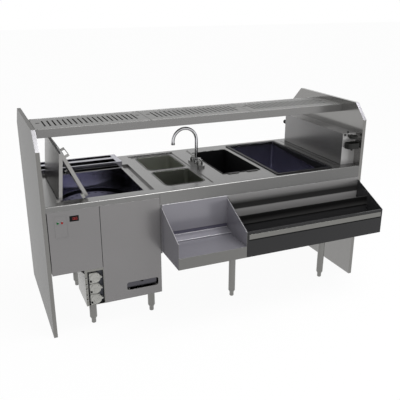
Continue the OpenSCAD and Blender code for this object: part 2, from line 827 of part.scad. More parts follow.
// Grille over the dark bay behind the washer opening: a low frame with bars along X
grille_rise = 22;
grille_frame = 12;
grille_side = 34;
bar_w = 34;
bar_t = 4;
bar_share = 0.57;
module rear_grille() {
    color([0.5, 0.5, 0.52]) translate([grille_x - grille_frame, grille_y - grille_frame, deck_h]) {
        difference() {
            cube([grille_w + 2 * grille_frame, grille_d + 2 * grille_frame, grille_rise]);
            translate([sheet_t, sheet_t, -cut]) cube([
                grille_w + 2 * grille_frame - 2 * sheet_t,
                grille_d + 2 * grille_frame - 2 * sheet_t,
                grille_rise + 2 * cut
            ]);
        }
        difference() {
            translate([0, 0, grille_rise - sheet_t])
                cube([grille_w + 2 * grille_frame, grille_d + 2 * grille_frame, sheet_t]);
            translate([grille_side, grille_frame, grille_rise - sheet_t - cut])
                cube([grille_w + 2 * grille_frame - 2 * grille_side, grille_d, sheet_t + 2 * cut]);
        }
        translate([sheet_t, grille_frame + bar_share * grille_d - bar_w / 2, grille_rise - bar_t])
            cube([grille_w + 2 * grille_frame - 2 * sheet_t, bar_w, bar_t]);
    }
}

// Lid switch in the channel
switch_r = 7;
switch_h = 5;
switch_share = 0.606;
module lid_switch() {
    color([0.12, 0.12, 0.13])
        translate([channel_x + switch_r + sheet_t, channel_y + switch_share * channel_d, deck_h])
            translate([0, 0, -channel_depth]) rotate_extrude()
                polygon([[0, 0], [switch_r, 0], [switch_r - cut, switch_h - cut], [0, switch_h]]);
}

// Lid: two leaves; the lower one turns on deck brackets, the upper one folds from it
pivot_x = well_x + sheet_t;
pivot_z = deck_h + pivot_h;
lid_y0 = well_y - (lid_w - well_d) / 2;
lid_y1 = lid_y0 + lid_w;
fold_x = pivot_x + leaf_a * sin(lid_lean);
fold_z = pivot_z + leaf_a * cos(lid_lean);
fold_angle = acos(leaf_a * cos(lid_lean) / leaf_b);
// Skin of the lid on the outer side of the pin line, and the flange on its inner side
skin_out = lid_t - pivot_h + sheet_t;
flange_in = pivot_h - sheet_t;
fold_gap = 0.5;
fold_hem = 4;
ear_r = 6.5;
ear_step = 4;
module at_pivot() {
    translate([pivot_x, lid_y0, pivot_z]) rotate([0, lid_lean, 0]) children();
}
module at_fold() {
    translate([fold_x, lid_y0, fold_z]) rotate([0, 180 - fold_angle, 0]) children();
}
module leaf_ear_hole(z) {
    translate([0, -cut, z]) rotate([-90, 0, 0]) cylinder(h = lid_w + 2 * cut, r = lid_pin_r + pin_gap);
}
// A pan along +Z with its skin towards -X; its end at the fold is left open below a narrow hem
module leaf_pan(z0, z1, y_in, fold_z0) {
    inner_w = lid_w - 2 * y_in - 2 * lid_sheet;
    difference() {
        translate([-skin_out, y_in, z0]) cube([skin_out + flange_in, lid_w - 2 * y_in, z1 - z0]);
        translate([-skin_out + lid_sheet, y_in + lid_sheet, z0 + lid_sheet])
            cube([skin_out + flange_in, inner_w, z1 - z0 - 2 * lid_sheet]);
        translate([-skin_out + fold_hem, y_in + lid_sheet, fold_z0 - cut])
            cube([skin_out + flange_in, inner_w, lid_sheet + 2 * cut]);
    }
}
module ears(z, y_in) {
    for (y = [y_in, lid_w - y_in - lid_sheet]) translate([0, y, z]) rotate([-90, 0, 0])
        cylinder(h = lid_sheet, r = ear_r);
}
module lid_lower_leaf() {
    color([0.58, 0.58, 0.57]) at_pivot() difference() {
        union() {
            leaf_pan(-pivot_h / 2, leaf_a - fold_gap, 0, leaf_a - fold_gap - lid_sheet);
            ears(leaf_a, 0);
        }
        leaf_ear_hole(0);
        leaf_ear_hole(leaf_a);
    }
}
module lid_upper_leaf() {
    color([0.58, 0.58, 0.57]) at_fold() difference() {
        union() {
            leaf_pan(fold_gap, leaf_b, ear_step, fold_gap);
            ears(0, ear_step);
        }
        leaf_ear_hole(0);
    }
}

// Pins of the fold, one at each end
pin_head_r = 5;
pin_head_t = 1.5;
pin_len = ear_step + 3 * lid_sheet;
module lid_fold_pins() {
    color([0.75, 0.75, 0.76]) at_pivot() for (s = [0, 1])
        translate([0, s * lid_w, leaf_a]) mirror([0, s, 0]) rotate([-90, 0, 0]) {
            translate([0, 0, -pin_head_t]) cylinder(h = pin_head_t, r = pin_head_r);
            cylinder(h = pin_len, r = lid_pin_r);
        }
}

// Brackets on the worktop with the pins that the lower leaf turns on
bracket_len = 26;
bracket_gap = 0.5;
module lid_pivot_brackets() {
    color([0.7, 0.7, 0.71]) for (s = [0, 1]) translate([pivot_x, lid_y0 + s * lid_w, 0]) mirror([0, s, 0]) {
        translate([0, -bracket_gap - sheet_t, pivot_z]) rotate([-90, 0, 0]) {
            cylinder(h = sheet_t, r = pin_head_r);
            cylinder(h = sheet_t + bracket_gap + 4 * lid_sheet, r = lid_pin_r);
        }
        translate([-bracket_len, -bracket_gap - sheet_t, deck_h])
            cube([bracket_len, sheet_t, pivot_h + sheet_t]);
        translate([-bracket_len, -bracket_gap - bracket_len / 2, deck_h])
            cube([bracket_len - ear_r, bracket_len / 2, sheet_t]);
    }
}

// Nylon feet on the lid's sliding edge, that stand on the worktop beside the washer's opening
slide_w = 20;
slide_gap = 0.3;
slide_over = 3;
slide_drop = (pivot_h - slide_gap) / sin(fold_angle);
module lid_slide_feet() {
    color([0.3, 0.3, 0.31]) at_fold() for (s = [0, 1]) translate([0, s * lid_w, 0]) mirror([0, s, 0]) {
        translate([-skin_out + lid_sheet, ear_step + lid_sheet, leaf_b - lid_sheet - slide_w])
            cube([skin_out + slide_drop - lid_sheet, slide_w, slide_w]);
        translate([flange_in, -slide_over, leaf_b - slide_w])
            cube([slide_drop - flange_in, slide_w, slide_w]);
    }
}

// Pull handle on the upper leaf near the fold
handle_len = 140;
handle_off = 22;
handle_w = 14;
handle_t = 3;
handle_y = 4;
handle_z = 16;
module lid_handle() {
    color([0.35, 0.35, 0.36]) at_fold() translate([-skin_out, handle_y, handle_z]) {
        translate([-handle_off, 0, 0]) cube([handle_t, handle_len, handle_w]);
        for (y = [0, handle_len - handle_t]) translate([-handle_off, y, 0])
            cube([handle_off, handle_t, handle_w]);
    }
}

// Dosing pumps: three heads on a plate in the bay, each round a small rotor
pump_x = 247;
pump_z0 = 186.5;
pump_face_y = 3;
pump_depth = 26;
pump_plate_y = pump_face_y + pump_depth;
pump_wall = 4;
rotor_r = 17;
rotor_gap = 1.5;
nub_r = 5;
nub_reach = 9;
PUMP_Z = [pump_z0, pump_z0 + pump_pitch, pump_z0 + 2 * pump_pitch];
module pump_outline() {
    circle(pump_r);
    translate([-pump_r, -pump_r + nub_r]) square([pump_r, 2 * pump_r - 2 * nub_r]);
    for (s = [-1, 1]) translate([-pump_r + nub_r, s * (pump_r - nub_r)]) circle(nub_r);
    translate([-pump_r + nub_r, -pump_r]) square([pump_r - nub_r, 2 * pump_r]);
    polygon([
        [0, pump_r / 2],
        [pump_r + nub_reach, nub_r / 2],
        [pump_r + nub_reach, -nub_r / 2],
        [0, -pump_r / 2]
    ]);
}
module pump_heads() {
    color([0.85, 0.85, 0.82]) for (z = PUMP_Z) translate([pump_x, 0, z]) difference() {
        union() {
            along_y(pump_face_y, pump_plate_y) pump_outline();
            along_y(0, pump_face_y) circle(pump_r - pump_wall);
        }
        along_y(pump_face_y + pump_wall, pump_plate_y + cut) circle(rotor_r + rotor_gap);
        along_y(-cut, pump_face_y + 2 * cut)
            translate([-pump_r + 2 * nub_r, -pump_r + 2 * nub_r]) circle(nub_r / 2);
    }
}
module pump_rotor(z) {
    color([0.3, 0.3, 0.32]) translate([pump_x, 0, z]) {
        along_y(pump_face_y + pump_wall + rotor_gap, pump_plate_y - rotor_gap) circle(rotor_r / 2);
        for (a = [0, 120, 240]) rotate([0, a, 0]) translate([rotor_r - nub_r, 0, 0])
            along_y(pump_face_y + pump_wall + rotor_gap, pump_plate_y - rotor_gap) circle(nub_r);
        along_y(pump_plate_y - rotor_gap, pump_plate_y + pump_wall) circle(nub_r);
    }
}
module pump_rotor_upper() {
    pump_rotor(PUMP_Z[2]);
}
module pump_rotor_middle() {
    pump_rotor(PUMP_Z[1]);
}
module pump_rotor_lower() {
    pump_rotor(PUMP_Z[0]);
}
module pump_chassis() {
    color([0.1, 0.1, 0.11]) difference() {
        union() {
            block(bay_x + sheet_t, column_x - sheet_t, pump_plate_y, pump_plate_y + sheet_t,
                body_foot + sheet_t, bay_top);
            for (z = PUMP_Z) translate([pump_x, 0, z])
                along_y(pump_plate_y + sheet_t, pump_plate_y + 2 * pump_depth) circle(rotor_r);
        }
        for (z = PUMP_Z) translate([pump_x, 0, z]) along_y(pump_plate_y - cut, pump_plate_y + 2 * pump_wall)
            circle(nub_r + pin_gap);
    }
}
fitting_r = 4;
fitting_t = 5;
fitting_up = 6;
fitting_down = 32;
FITTING_Z = [
    PUMP_Z[0] + fitting_up,
    PUMP_Z[1] - fitting_down,
    PUMP_Z[1] + fitting_up,
    PUMP_Z[2] - fitting_down,
    PUMP_Z[2] + fitting_up
];
module pump_fittings() {
    color([0.5, 0.5, 0.5]) for (z = FITTING_Z) translate([bay_x + bay_frame / 2, 0, z]) {
        along_y(body_y0 - fitting_t, body_y0) circle(fitting_r / 2);
        along_y(body_y0 - fitting_t, body_y0 - fitting_t / 2) circle(fitting_r);
    }
}

// Bowls and their drains
bowl_top = deck_h - recess_drop - sheet_t;
bowl_flange = 8;
module sink_bowl(y, d) {
    color([0.36, 0.37, 0.35]) translate([bowl_x, y, bowl_top]) difference() {
        drawn_bowl(bowl_w, d, bowl_h, bowl_r, bowl_t, bowl_flange);
        translate([bowl_w / 2, d / 2, -bowl_h - 2 * bowl_t]) cylinder(h = 4 * bowl_t, r = drain_r);
    }
}
module front_bowl() {
    sink_bowl(front_bowl_y, front_bowl_d);
}
module rear_bowl() {
    sink_bowl(rear_bowl_y, rear_bowl_d);
}
bowl_floor = bowl_top - bowl_h;
strainer_flange_r = 42;
strainer_depth = 16;
strainer_hole_r = 2.5;
DRAINS = [
    [bowl_x + bowl_w / 2, front_bowl_y + front_bowl_d / 2],
    [bowl_x + bowl_w / 2, rear_bowl_y + rear_bowl_d / 2]
];
module bowl_strainers() {
    color([0.75, 0.75, 0.76]) for (p = DRAINS) translate([p[0], p[1], bowl_floor]) difference() {
        rotate_extrude() polygon([
            [0, -strainer_depth],
            [drain_r - bowl_t, -strainer_depth],
            [drain_r - bowl_t, -bowl_t],
            [drain_r - bowl_t, 0],
            [strainer_flange_r, 0],
            [strainer_flange_r - bowl_t, bowl_t],
            [drain_r - 2 * bowl_t, bowl_t],
            [drain_r - 2 * bowl_t, bowl_t - strainer_depth],
            [0, bowl_t - strainer_depth]
        ]);
        for (i = [0 : 5]) rotate(60 * i) translate([drain_r / 2, 0, -strainer_depth - cut])
            cylinder(h = 2 * bowl_t + cut, r = strainer_hole_r);
    }
}
nut_r = 34;
nut_h = 14;
module bowl_tailpieces() {
    color([0.7, 0.7, 0.71]) for (p = DRAINS)
        translate([p[0], p[1], bowl_floor - strainer_depth - tailpiece_len - nut_h]) difference() {
            union() {
                cylinder(h = tailpiece_len + nut_h, r = tailpiece_r);
                translate([0, 0, tailpiece_len]) cylinder(h = nut_h, r = nut_r, $fn = 96);
                translate([0, 0, tailpiece_len + nut_h]) cylinder(h = strainer_depth - bowl_t, r = nut_r);
            }
            translate([0, 0, -cut]) cylinder(h = tailpiece_len + nut_h + 2 * cut, r = tailpiece_r - bowl_t);
            translate([0, 0, tailpiece_len + nut_h])
                cylinder(h = strainer_depth + cut, r = drain_r - bowl_t + pin_gap);
        }
}

// Tap: base plate with two valves, a swivel gooseneck and two levers
tap_boss_r = 17;
tap_boss_h = 30;
valve_r = 19;
valve_h = 34;
shank_r = 12;
shank_len = 46;
socket_r = 11;
socket_depth = 20;
stem_r = 7;
stem_h = 8;
module tap_base() {
    color([0.8, 0.8, 0.82]) translate([tap_x, tap_y, deck_h]) difference() {
        union() {
            linear_extrude(tap_plate_h) stadium(tap_plate_len, tap_plate_w);
            cylinder(h = tap_boss_h, r1 = tap_boss_r + stem_h / 2, r2 = tap_boss_r, $fn = 48);
            for (s = [-1, 1]) translate([0, s * valve_pitch / 2, 0]) {
                cylinder(h = valve_h, r1 = valve_r + stem_h / 2, r2 = valve_r, $fn = 48);
                translate([0, 0, -shank_len]) cylinder(h = shank_len, r = shank_r);
            }
        }
        translate([0, 0, tap_boss_h - socket_depth])
            cylinder(h = socket_depth + cut, r = socket_r + pin_gap);
        for (s = [-1, 1]) translate([0, s * valve_pitch / 2, valve_h - stem_h])
            cylinder(h = stem_h + cut, r = stem_r + pin_gap);
    }
}
collar_h = 10;
collar_r = 14;
spout_base = deck_h + tap_boss_h;
bend_z = deck_h + spout_rise;
module spout_path(r) {
    translate([0, 0, tap_boss_h]) cylinder(h = spout_rise - tap_boss_h, r = r);
    translate([-spout_bend_r, 0, spout_rise]) rotate([90, 0, 0]) rotate_extrude(angle = 180)
        translate([spout_bend_r, 0]) circle(r);
    translate([-2 * spout_bend_r, 0, spout_rise - spout_drop]) cylinder(h = spout_drop, r = r);
}
swivel_gap = 0.4;
module tap_spout() {
    color([0.8, 0.8, 0.82]) translate([tap_x, tap_y, deck_h]) difference() {
        union() {
            spout_path(spout_r);
            translate([0, 0, tap_boss_h + swivel_gap]) cylinder(h = collar_h, r = collar_r);
            translate([0, 0, tap_boss_h - socket_depth + swivel_gap])
                cylinder(h = socket_depth, r = socket_r);
        }
        translate([0, 0, tap_boss_h - socket_depth]) cylinder(h = socket_depth + cut, r = spout_bore_r);
        spout_path(spout_bore_r);
        translate([-2 * spout_bend_r, 0, spout_rise - spout_drop - cut])
            cylinder(h = 2 * cut, r = spout_bore_r);
    }
}
aerator_r = 12;
aerator_h = 12;
module tap_aerator() {
    color([0.3, 0.3, 0.32]) translate([tap_x - 2 * spout_bend_r, tap_y, bend_z - spout_drop - aerator_h])
        difference() {
            union() {
                cylinder(h = aerator_h, r = aerator_r - cut);
                translate([0, 0, aerator_h / 4]) cylinder(h = aerator_h / 2, r = aerator_r);
            }
            translate([0, 0, -cut]) cylinder(h = aerator_h / 2, r = spout_bore_r);
        }
}
lever_hub_r = 14;
lever_hub_h = 18;
lever_tilt = 12;
lever_grip_r = 6;
module tap_lever() {
    translate([0, 0, valve_h - stem_h + swivel_gap]) cylinder(h = stem_h, r = stem_r);
    translate([0, 0, valve_h + swivel_gap]) {
        cylinder(h = lever_hub_h, r1 = lever_hub_r, r2 = lever_hub_r - stem_h / 2, $fn = 48);
        intersection() {
            translate([0, 0, lever_hub_h / 2]) rotate([90 - lever_tilt, 0, 0]) {
                cylinder(h = lever_len - lever_grip_r, r1 = lever_grip_r - cut, r2 = lever_grip_r, $fn = 48);
                translate([0, 0, lever_len - lever_grip_r]) sphere(lever_grip_r);
            }
            translate([-lever_len, -lever_len - lever_hub_r, 0])
                cube([2 * lever_len, lever_len + lever_hub_r, lever_len]);
        }
    }
}
lever_skew = 12;
module tap_front_lever() {
    color([0.85, 0.85, 0.86]) translate([tap_x, tap_y - valve_pitch / 2, deck_h])
        rotate(-lever_skew) tap_lever();
}
module tap_rear_lever() {
    color([0.85, 0.85, 0.86]) translate([tap_x, tap_y + valve_pitch / 2, deck_h])
        rotate(180 + lever_skew) tap_lever();
}

// Bottle well: a black insert hung in its opening by tabs on the front and back edges
insert_gap = 1;
tab_w = 76;
tab_reach = 9;
tab_t = 3;
tab_front_shares = [0.26, 0.77];
tab_back_shares = [0.4, 0.62, 0.9];
back_tab_w = 24;
module bottle_tray() {
    color([0.05, 0.05, 0.05]) {
        difference() {
            block(well2_x + insert_gap, well2_x + well2_w - insert_gap, well2_y + insert_gap,
                well2_y + well2_d - insert_gap, deck_h - well2_h, deck_h + tab_t);
            block(well2_x + insert_gap + well2_t, well2_x + well2_w - insert_gap - well2_t,
                well2_y + insert_gap + well2_t, well2_y + well2_d - insert_gap - well2_t,
                deck_h - well2_h + well2_t, deck_h + tab_t + cut);
        }
        for (s = tab_front_shares) translate([well2_x + s * well2_w, well2_y, deck_h])
            block(-tab_w / 2, tab_w / 2, -tab_reach, insert_gap, 0, tab_t);
        for (s = tab_back_shares) translate([well2_x + s * well2_w, well2_y + well2_d, deck_h])
            block(-back_tab_w / 2, back_tab_w / 2, -insert_gap, tab_reach, 0, tab_t);
    }
}

// Ice bin: drawn liner, black rim, foamed jacket and drain
module ice_bin_liner() {
    color([0.2, 0.2, 0.27]) translate([bin_x, bin_y, deck_h]) difference() {
        translate([-bowl_t, -bowl_t, -bin_h - bowl_t])
            drawn_solid(bin_w + 2 * bowl_t, bin_d + 2 * bowl_t, bin_h + bowl_t, bin_r + bowl_t);
        translate([0, 0, -bin_h]) drawn_solid(bin_w, bin_d, bin_h + bin_r, bin_r);
        translate([bin_w / 2, bin_d / 2, -bin_h - 2 * bowl_t])
            cylinder(h = 4 * bowl_t, r = bin_drain_r + sheet_t);
    }
}
module ice_bin_rim() {
    color([0.05, 0.05, 0.05]) translate([bin_x, bin_y, deck_h]) difference() {
        translate([-rim_w, -rim_w, 0]) linear_extrude(rim_h)
            round_rect(bin_w + 2 * rim_w, bin_d + 2 * rim_w, bin_r);
        translate([0, 0, -cut]) linear_extrude(rim_h + 2 * cut) round_rect(bin_w, bin_d, bin_r);
    }
}
module ice_bin_jacket() {
    color([0.55, 0.55, 0.55]) difference() {
        block(foam_x0, foam_x1, foam_y0, foam_y1, foam_z0, deck_under);
        translate([bin_x - bowl_t, bin_y - bowl_t, deck_h - bin_h - bowl_t])
            drawn_solid(bin_w + 2 * bowl_t, bin_d + 2 * bowl_t, bin_h + bowl_t + bin_r, bin_r + bowl_t);
        translate([bin_x + bin_w / 2, bin_y + bin_d / 2, foam_z0 - cut])
            cylinder(h = foam_t + 2 * bowl_t + 2 * cut, r = bin_drain_r + sheet_t);
    }
}
bin_drain_len = 70;
module ice_bin_drain() {
    color([0.75, 0.75, 0.76]) translate([bin_x + bin_w / 2, bin_y + bin_d / 2, deck_h - bin_h])
        difference() {
        union() {
            translate([0, 0, -bin_drain_len - foam_t])
                cylinder(h = bin_drain_len + foam_t + bowl_t, r = bin_drain_r);
            cylinder(h = bowl_t, r = 2 * bin_drain_r);
        }
        translate([0, 0, -bin_drain_len - foam_t - cut])
            cylinder(h = bin_drain_len + foam_t, r = bin_drain_r - bowl_t);
        for (i = [0 : 5]) rotate(60 * i) translate([bin_drain_r / 2, 0, -4 * bowl_t])
            cylinder(h = 8 * bowl_t, r = strainer_hole_r);
    }
}

// Hose chase on the right, with the bar gun's holster and drip cup on its front
chase_x = xr - chase_w;
chase_top = deck_h + chase_h;
chase_back = chase_y + chase_d;
grommet_r = 14;
grommet_len = 22;
grommet_x = chase_x + 1.1 * grommet_r;
grommet_z = deck_h + 0.68 * chase_h;
module gun_chase() {
    color([0.6, 0.6, 0.59]) difference() {
        block(chase_x, xr, chase_y, chase_back, deck_h, chase_top);
        block(chase_x + sheet_t, xr + cut, chase_y + sheet_t, chase_back - sheet_t,
            deck_h - cut, chase_top - sheet_t);
        translate([grommet_x, chase_back - 2 * sheet_t, grommet_z]) rotate([-90, 0, 0])
            cylinder(h = 4 * sheet_t, r = grommet_r - 2 * sheet_t + pin_gap);
    }
}
module hose_grommet() {
    color([0.04, 0.04, 0.04]) translate([grommet_x, chase_back, grommet_z]) rotate([-90, 0, 0])
        difference() {
            union() {
                cylinder(h = grommet_len / 2, r = grommet_r);
                translate([0, 0, -2 * sheet_t]) cylinder(h = grommet_len, r = grommet_r - 2 * sheet_t);
            }
            translate([0, 0, -3 * sheet_t]) cylinder(h = 2 * grommet_len, r = grommet_r - 3 * sheet_t);
        }
}
holster_off = 46.5;
holster_x = xr - holster_off;
holster_z = 937;
holster_r = 28;
holster_wall = 5;
holster_h = 15;
holster_y = 26;
module gun_holster() {
    color([0.06, 0.06, 0.06]) difference() {
        union() {
            translate([holster_x, holster_y, holster_z]) cylinder(h = holster_h, r = holster_r);
            block(holster_x - holster_r / 2, holster_x + holster_r / 2, holster_y, chase_y,
                holster_z, holster_z + holster_h);
        }
        translate([holster_x, holster_y, holster_z - cut])
            cylinder(h = holster_h + 2 * cut, r = holster_r - holster_wall);
    }
}
cup_w = 88;
cup_d = 60;
cup_h = 34;
cup_r = 20;
cup_t = 2.5;
cup_z = 872;
nipple_r = 6;
nipple_len = 16;
module drip_cup() {
    color([0.06, 0.06, 0.06]) translate([holster_x - cup_w / 2, chase_y - cup_d, cup_z]) difference() {
        union() {
            linear_extrude(cup_h) {
                round_rect(cup_w, cup_d, cup_r);
                translate([cup_r, cup_d / 2]) square([cup_w - 2 * cup_r, cup_d / 2]);
            }
            translate([cup_w / 2, cup_d / 2, -nipple_len]) cylinder(h = nipple_len + cup_t, r = nipple_r);
        }
        translate([cup_t, cup_t, cup_t]) linear_extrude(cup_h)
            round_rect(cup_w - 2 * cup_t, cup_d - 2 * cup_t, cup_r - cup_t);
        translate([cup_w / 2, cup_d / 2, -nipple_len - cut])
            cylinder(h = nipple_len + 2 * cup_t + cut, r = nipple_r - cup_t);
    }
}

// Stainless step rail: one folded sheet with a low step at the back, between two side plates
rail_floor = rail_foot + lip_h;
rail_back_y = -3;
rail_hook_h = 2;
rail_back_top = deck_h - apron_h + rail_hook_h;
step_edge_y = -57;
step_edge_h = 10;
step_back_h = 26;
band_h = 22;
band_y = 0;
module side_outline(y_back) {
    polygon([
        [y_back, rail_foot],
        [-rail_reach, rail_foot],
        [-rail_reach, rail_foot + side_h],
        [y_back, rail_foot + side_back_h]
    ]);
}
module rail_back(z0) {
    translate([rail_back_y, z0]) square([sheet_t, rail_back_top - z0]);
    translate([rail_back_y, rail_back_top - rail_hook_h]) square([-rail_back_y, rail_hook_h]);
}
module rail_section() {
    rail_back(rail_floor + step_back_h + band_h);
    translate([rail_back_y, rail_floor + step_back_h + band_h])
        square([band_y + sheet_t - rail_back_y, sheet_t]);
    translate([band_y, rail_floor + step_back_h - sheet_t]) square([sheet_t, band_h + 2 * sheet_t]);
    polygon([
        [step_edge_y, rail_floor + step_edge_h],
        [band_y + sheet_t, rail_floor + step_back_h],
        [band_y + sheet_t, rail_floor + step_back_h - sheet_t],
        [step_edge_y, rail_floor + step_edge_h - sheet_t]
    ]);
    translate([step_edge_y - sheet_t, rail_floor - sheet_t]) square([sheet_t, step_edge_h + sheet_t]);
    translate([-rail_reach, rail_floor - sheet_t]) square([rail_reach + step_edge_y, sheet_t]);
    translate([-rail_reach, rail_foot]) square([sheet_t, lip_h]);
    translate([-rail_reach, rail_foot]) square([4 * sheet_t, sheet_t]);
}
module step_rail() {
    color([0.5, 0.5, 0.54]) {
        along_x(rail_x + sheet_t, rail_x + rail_len - sheet_t) rail_section();
        along_x(rail_x, rail_x + sheet_t) side_outline(band_y + sheet_t);
        along_x(rail_x + rail_len - sheet_t, rail_x + rail_len) side_outline(band_y + sheet_t);
    }
}

// Stainless back panel behind the black rail, hooked over the worktop's front edge
black_x = rail_x + rail_len + seam;
black_len = xr - black_x;
module rail_back_panel() {
    color([0.5, 0.5, 0.52]) along_x(black_x, xr) rail_back(rail_foot);
}

// Black double rail: front trough, rear tier with a divider and end plates with a front flange
tier_top = 541;
black_lip_h = 151;
black_flange = 11;
module black_side(x0) {
    along_x(x0, x0 + sheet_t) side_outline(rail_back_y);
}
module speed_rail() {
    color([0.07, 0.07, 0.075]) {
        black_side(black_x);
        black_side(black_x + black_len - sheet_t);
        block(black_x + sheet_t, black_x + black_len - sheet_t, -rail_reach, rail_back_y,
            rail_foot, rail_foot + sheet_t);
        block(black_x + sheet_t, black_x + black_len - sheet_t, -rail_reach, -rail_reach + sheet_t,
            rail_foot + sheet_t, rail_foot + black_lip_h);
        block(black_x + sheet_t, black_x + black_len - sheet_t,
            -rail_reach + sheet_t, -rail_reach + 4 * sheet_t,
            rail_foot + black_lip_h - sheet_t, rail_foot + black_lip_h);
        block(black_x + sheet_t, black_x + black_len - sheet_t, -tier_reach, -tier_reach + sheet_t,
            rail_foot + sheet_t, tier_top);
    }
}

// Bottle guard on the rear tier: a strip on end posts
guard_h = 55;
guard_end = 10;
guard_post = 8;
guard_hem = 4;
module speed_rail_guard() {
    color([0.05, 0.05, 0.05]) {
        block(black_x + guard_end, black_x + black_len - guard_end, -tier_reach - sheet_t, -tier_reach,
            tier_top - guard_hem, tier_top + guard_h);
        block(black_x + guard_end, black_x + black_len - guard_end, -tier_reach, -tier_reach + guard_hem,
            tier_top + guard_h - sheet_t, tier_top + guard_h);
        for (x = [black_x + guard_end, black_x + black_len - guard_end - guard_post])
            block(x, x + guard_post, -tier_reach - guard_hem, -tier_reach - sheet_t,
                tier_top - guard_hem, tier_top + guard_h);
    }
}

// Bright strip along the black rail's front
strip_h = 29;
strip_z = 511;
strip_t = 1.5;
module speed_rail_strip() {
    color([0.66, 0.66, 0.65])
        block(black_x + black_flange, black_x + black_len - black_flange,
            -rail_reach - strip_t, -rail_reach, strip_z, strip_z + strip_h);
}

placed() left_end_panel();
placed() right_end_panel();
placed() worktop();
placed() under_frame();
placed() leg_tubes();
placed() bullet_feet();
placed() overshelf_tray();
placed() drain_grate_left();
placed() drain_grate_centre();
placed() drain_grate_right();
placed() washer_cabinet();
placed() service_panel();
placed() control_panel();
placed() display_bezel();
placed() display_window();
placed() start_button();
placed() stop_button();
placed() wash_tub();
placed() glass_carousel();
placed() carousel_gearmotor();
placed() spray_manifold();
placed() wash_pump();
placed() scrap_tray();
placed() rear_grille();
placed() lid_switch();
placed() lid_pivot_brackets();
placed() lid_lower_leaf();
placed() lid_fold_pins();
placed() lid_upper_leaf();
placed() lid_slide_feet();
placed() lid_handle();
placed() pump_chassis();
placed() pump_heads();
placed() pump_rotor_upper();
placed() pump_rotor_middle();
placed() pump_rotor_lower();
placed() pump_fittings();
placed() front_bowl();
placed() rear_bowl();
placed() bowl_strainers();
placed() bowl_tailpieces();
placed() tap_base();
placed() tap_spout();
placed() tap_aerator();
placed() tap_front_lever();
placed() tap_rear_lever();
placed() bottle_tray();
placed() ice_bin_liner();
placed() ice_bin_rim();
placed() ice_bin_jacket();
placed() ice_bin_drain();
placed() gun_chase();
placed() hose_grommet();
placed() gun_holster();
placed() drip_cup();
placed() step_rail();
placed() rail_back_panel();
placed() speed_rail();
placed() speed_rail_guard();
placed() speed_rail_strip();
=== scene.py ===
"""Finishes, small fittings, light and camera for the bar station.

Sizes are in metres. Places are given in the station's own frame, whose X runs from the outer face
of the left end panel, Y from the worktop's front edge to the back, and Z up from the floor.
"""

import logging
import math
from abc import ABC, abstractmethod
from dataclasses import dataclass
from enum import Enum
from functools import cached_property
from typing import ClassVar, Sequence

import bmesh
import bpy
from mathutils import Matrix, Vector


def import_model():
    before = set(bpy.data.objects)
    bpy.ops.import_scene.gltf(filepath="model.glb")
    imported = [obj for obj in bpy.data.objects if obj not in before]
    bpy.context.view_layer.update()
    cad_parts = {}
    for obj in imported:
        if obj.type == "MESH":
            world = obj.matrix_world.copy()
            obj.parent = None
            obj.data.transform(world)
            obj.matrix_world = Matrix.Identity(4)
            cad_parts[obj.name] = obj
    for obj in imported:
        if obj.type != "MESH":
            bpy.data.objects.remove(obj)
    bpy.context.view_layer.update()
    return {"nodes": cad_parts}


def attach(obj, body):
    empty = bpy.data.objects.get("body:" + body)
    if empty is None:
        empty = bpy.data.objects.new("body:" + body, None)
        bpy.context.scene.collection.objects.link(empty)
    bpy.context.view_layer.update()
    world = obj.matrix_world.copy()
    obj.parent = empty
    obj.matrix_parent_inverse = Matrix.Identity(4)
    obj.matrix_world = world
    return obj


LOG = logging.getLogger("bar_station")

Colour = tuple[float, float, float]
Point = tuple[float, float, float]
Flat = tuple[float, float]
Outline = Sequence[Flat]
Material = bpy.types.Material
Socket = bpy.types.NodeSocket

# The station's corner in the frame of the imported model
CORNER: Point = (-0.9915, -0.28425, 0.0)


class Axis(Enum):
    """A direction in the station's frame."""

    LEFT = (-1.0, 0.0, 0.0)
    FRONT = (0.0, -1.0, 0.0)
    BACK = (0.0, 1.0, 0.0)
    UP = (0.0, 0.0, 1.0)

    @property
    def vector(self) -> Vector:
        """The direction as a vector of length one."""
        return Vector(self.value)

    @property
    def turn(self) -> Matrix:
        """The rotation that takes the Z axis to this direction."""
        return self.vector.to_track_quat("Z", "Y").to_matrix().to_4x4()

    @property
    def across(self) -> tuple[Vector, Vector]:
        """The two directions across this one that an outline is drawn along.

        Returns:
            The first direction and the second.
        """
        if self is Axis.UP:
            return Vector((1, 0, 0)), Vector((0, 1, 0))
        return Axis.UP.vector.cross(self.vector), Axis.UP.vector


class Combine(Enum):
    """A way to combine two values, by the shader node's name for it."""

    PRODUCT = "MULTIPLY"
    GREATER = "MAXIMUM"


class Along(Enum):
    """The axis that a sheet's tone follows, by the name of its socket."""

    X = "X"
    Y = "Y"
    Z = "Z"


class Grain(Enum):
    """The way a sheet was brushed, as the stretch of the noise that draws its lines."""

    ALONG_X = (0.012, 1.0, 1.0)
    ALONG_Z = (1.0, 1.0, 0.012)
    NONE = (1.0, 1.0, 1.0)


def place(x: float = 0.0, y: float = 0.0, z: float = 0.0) -> Vector:
    """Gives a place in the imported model's frame from its place in the station's own frame."""
    return Vector((x, y, z)) + Vector(CORNER)


def scaled(colour: Colour, share: float, rise: float = 0.0) -> Colour:
    """Gives a colour whose parts are multiplied by a share and then raised."""
    return tuple(part * share + rise for part in colour)


# Finishes


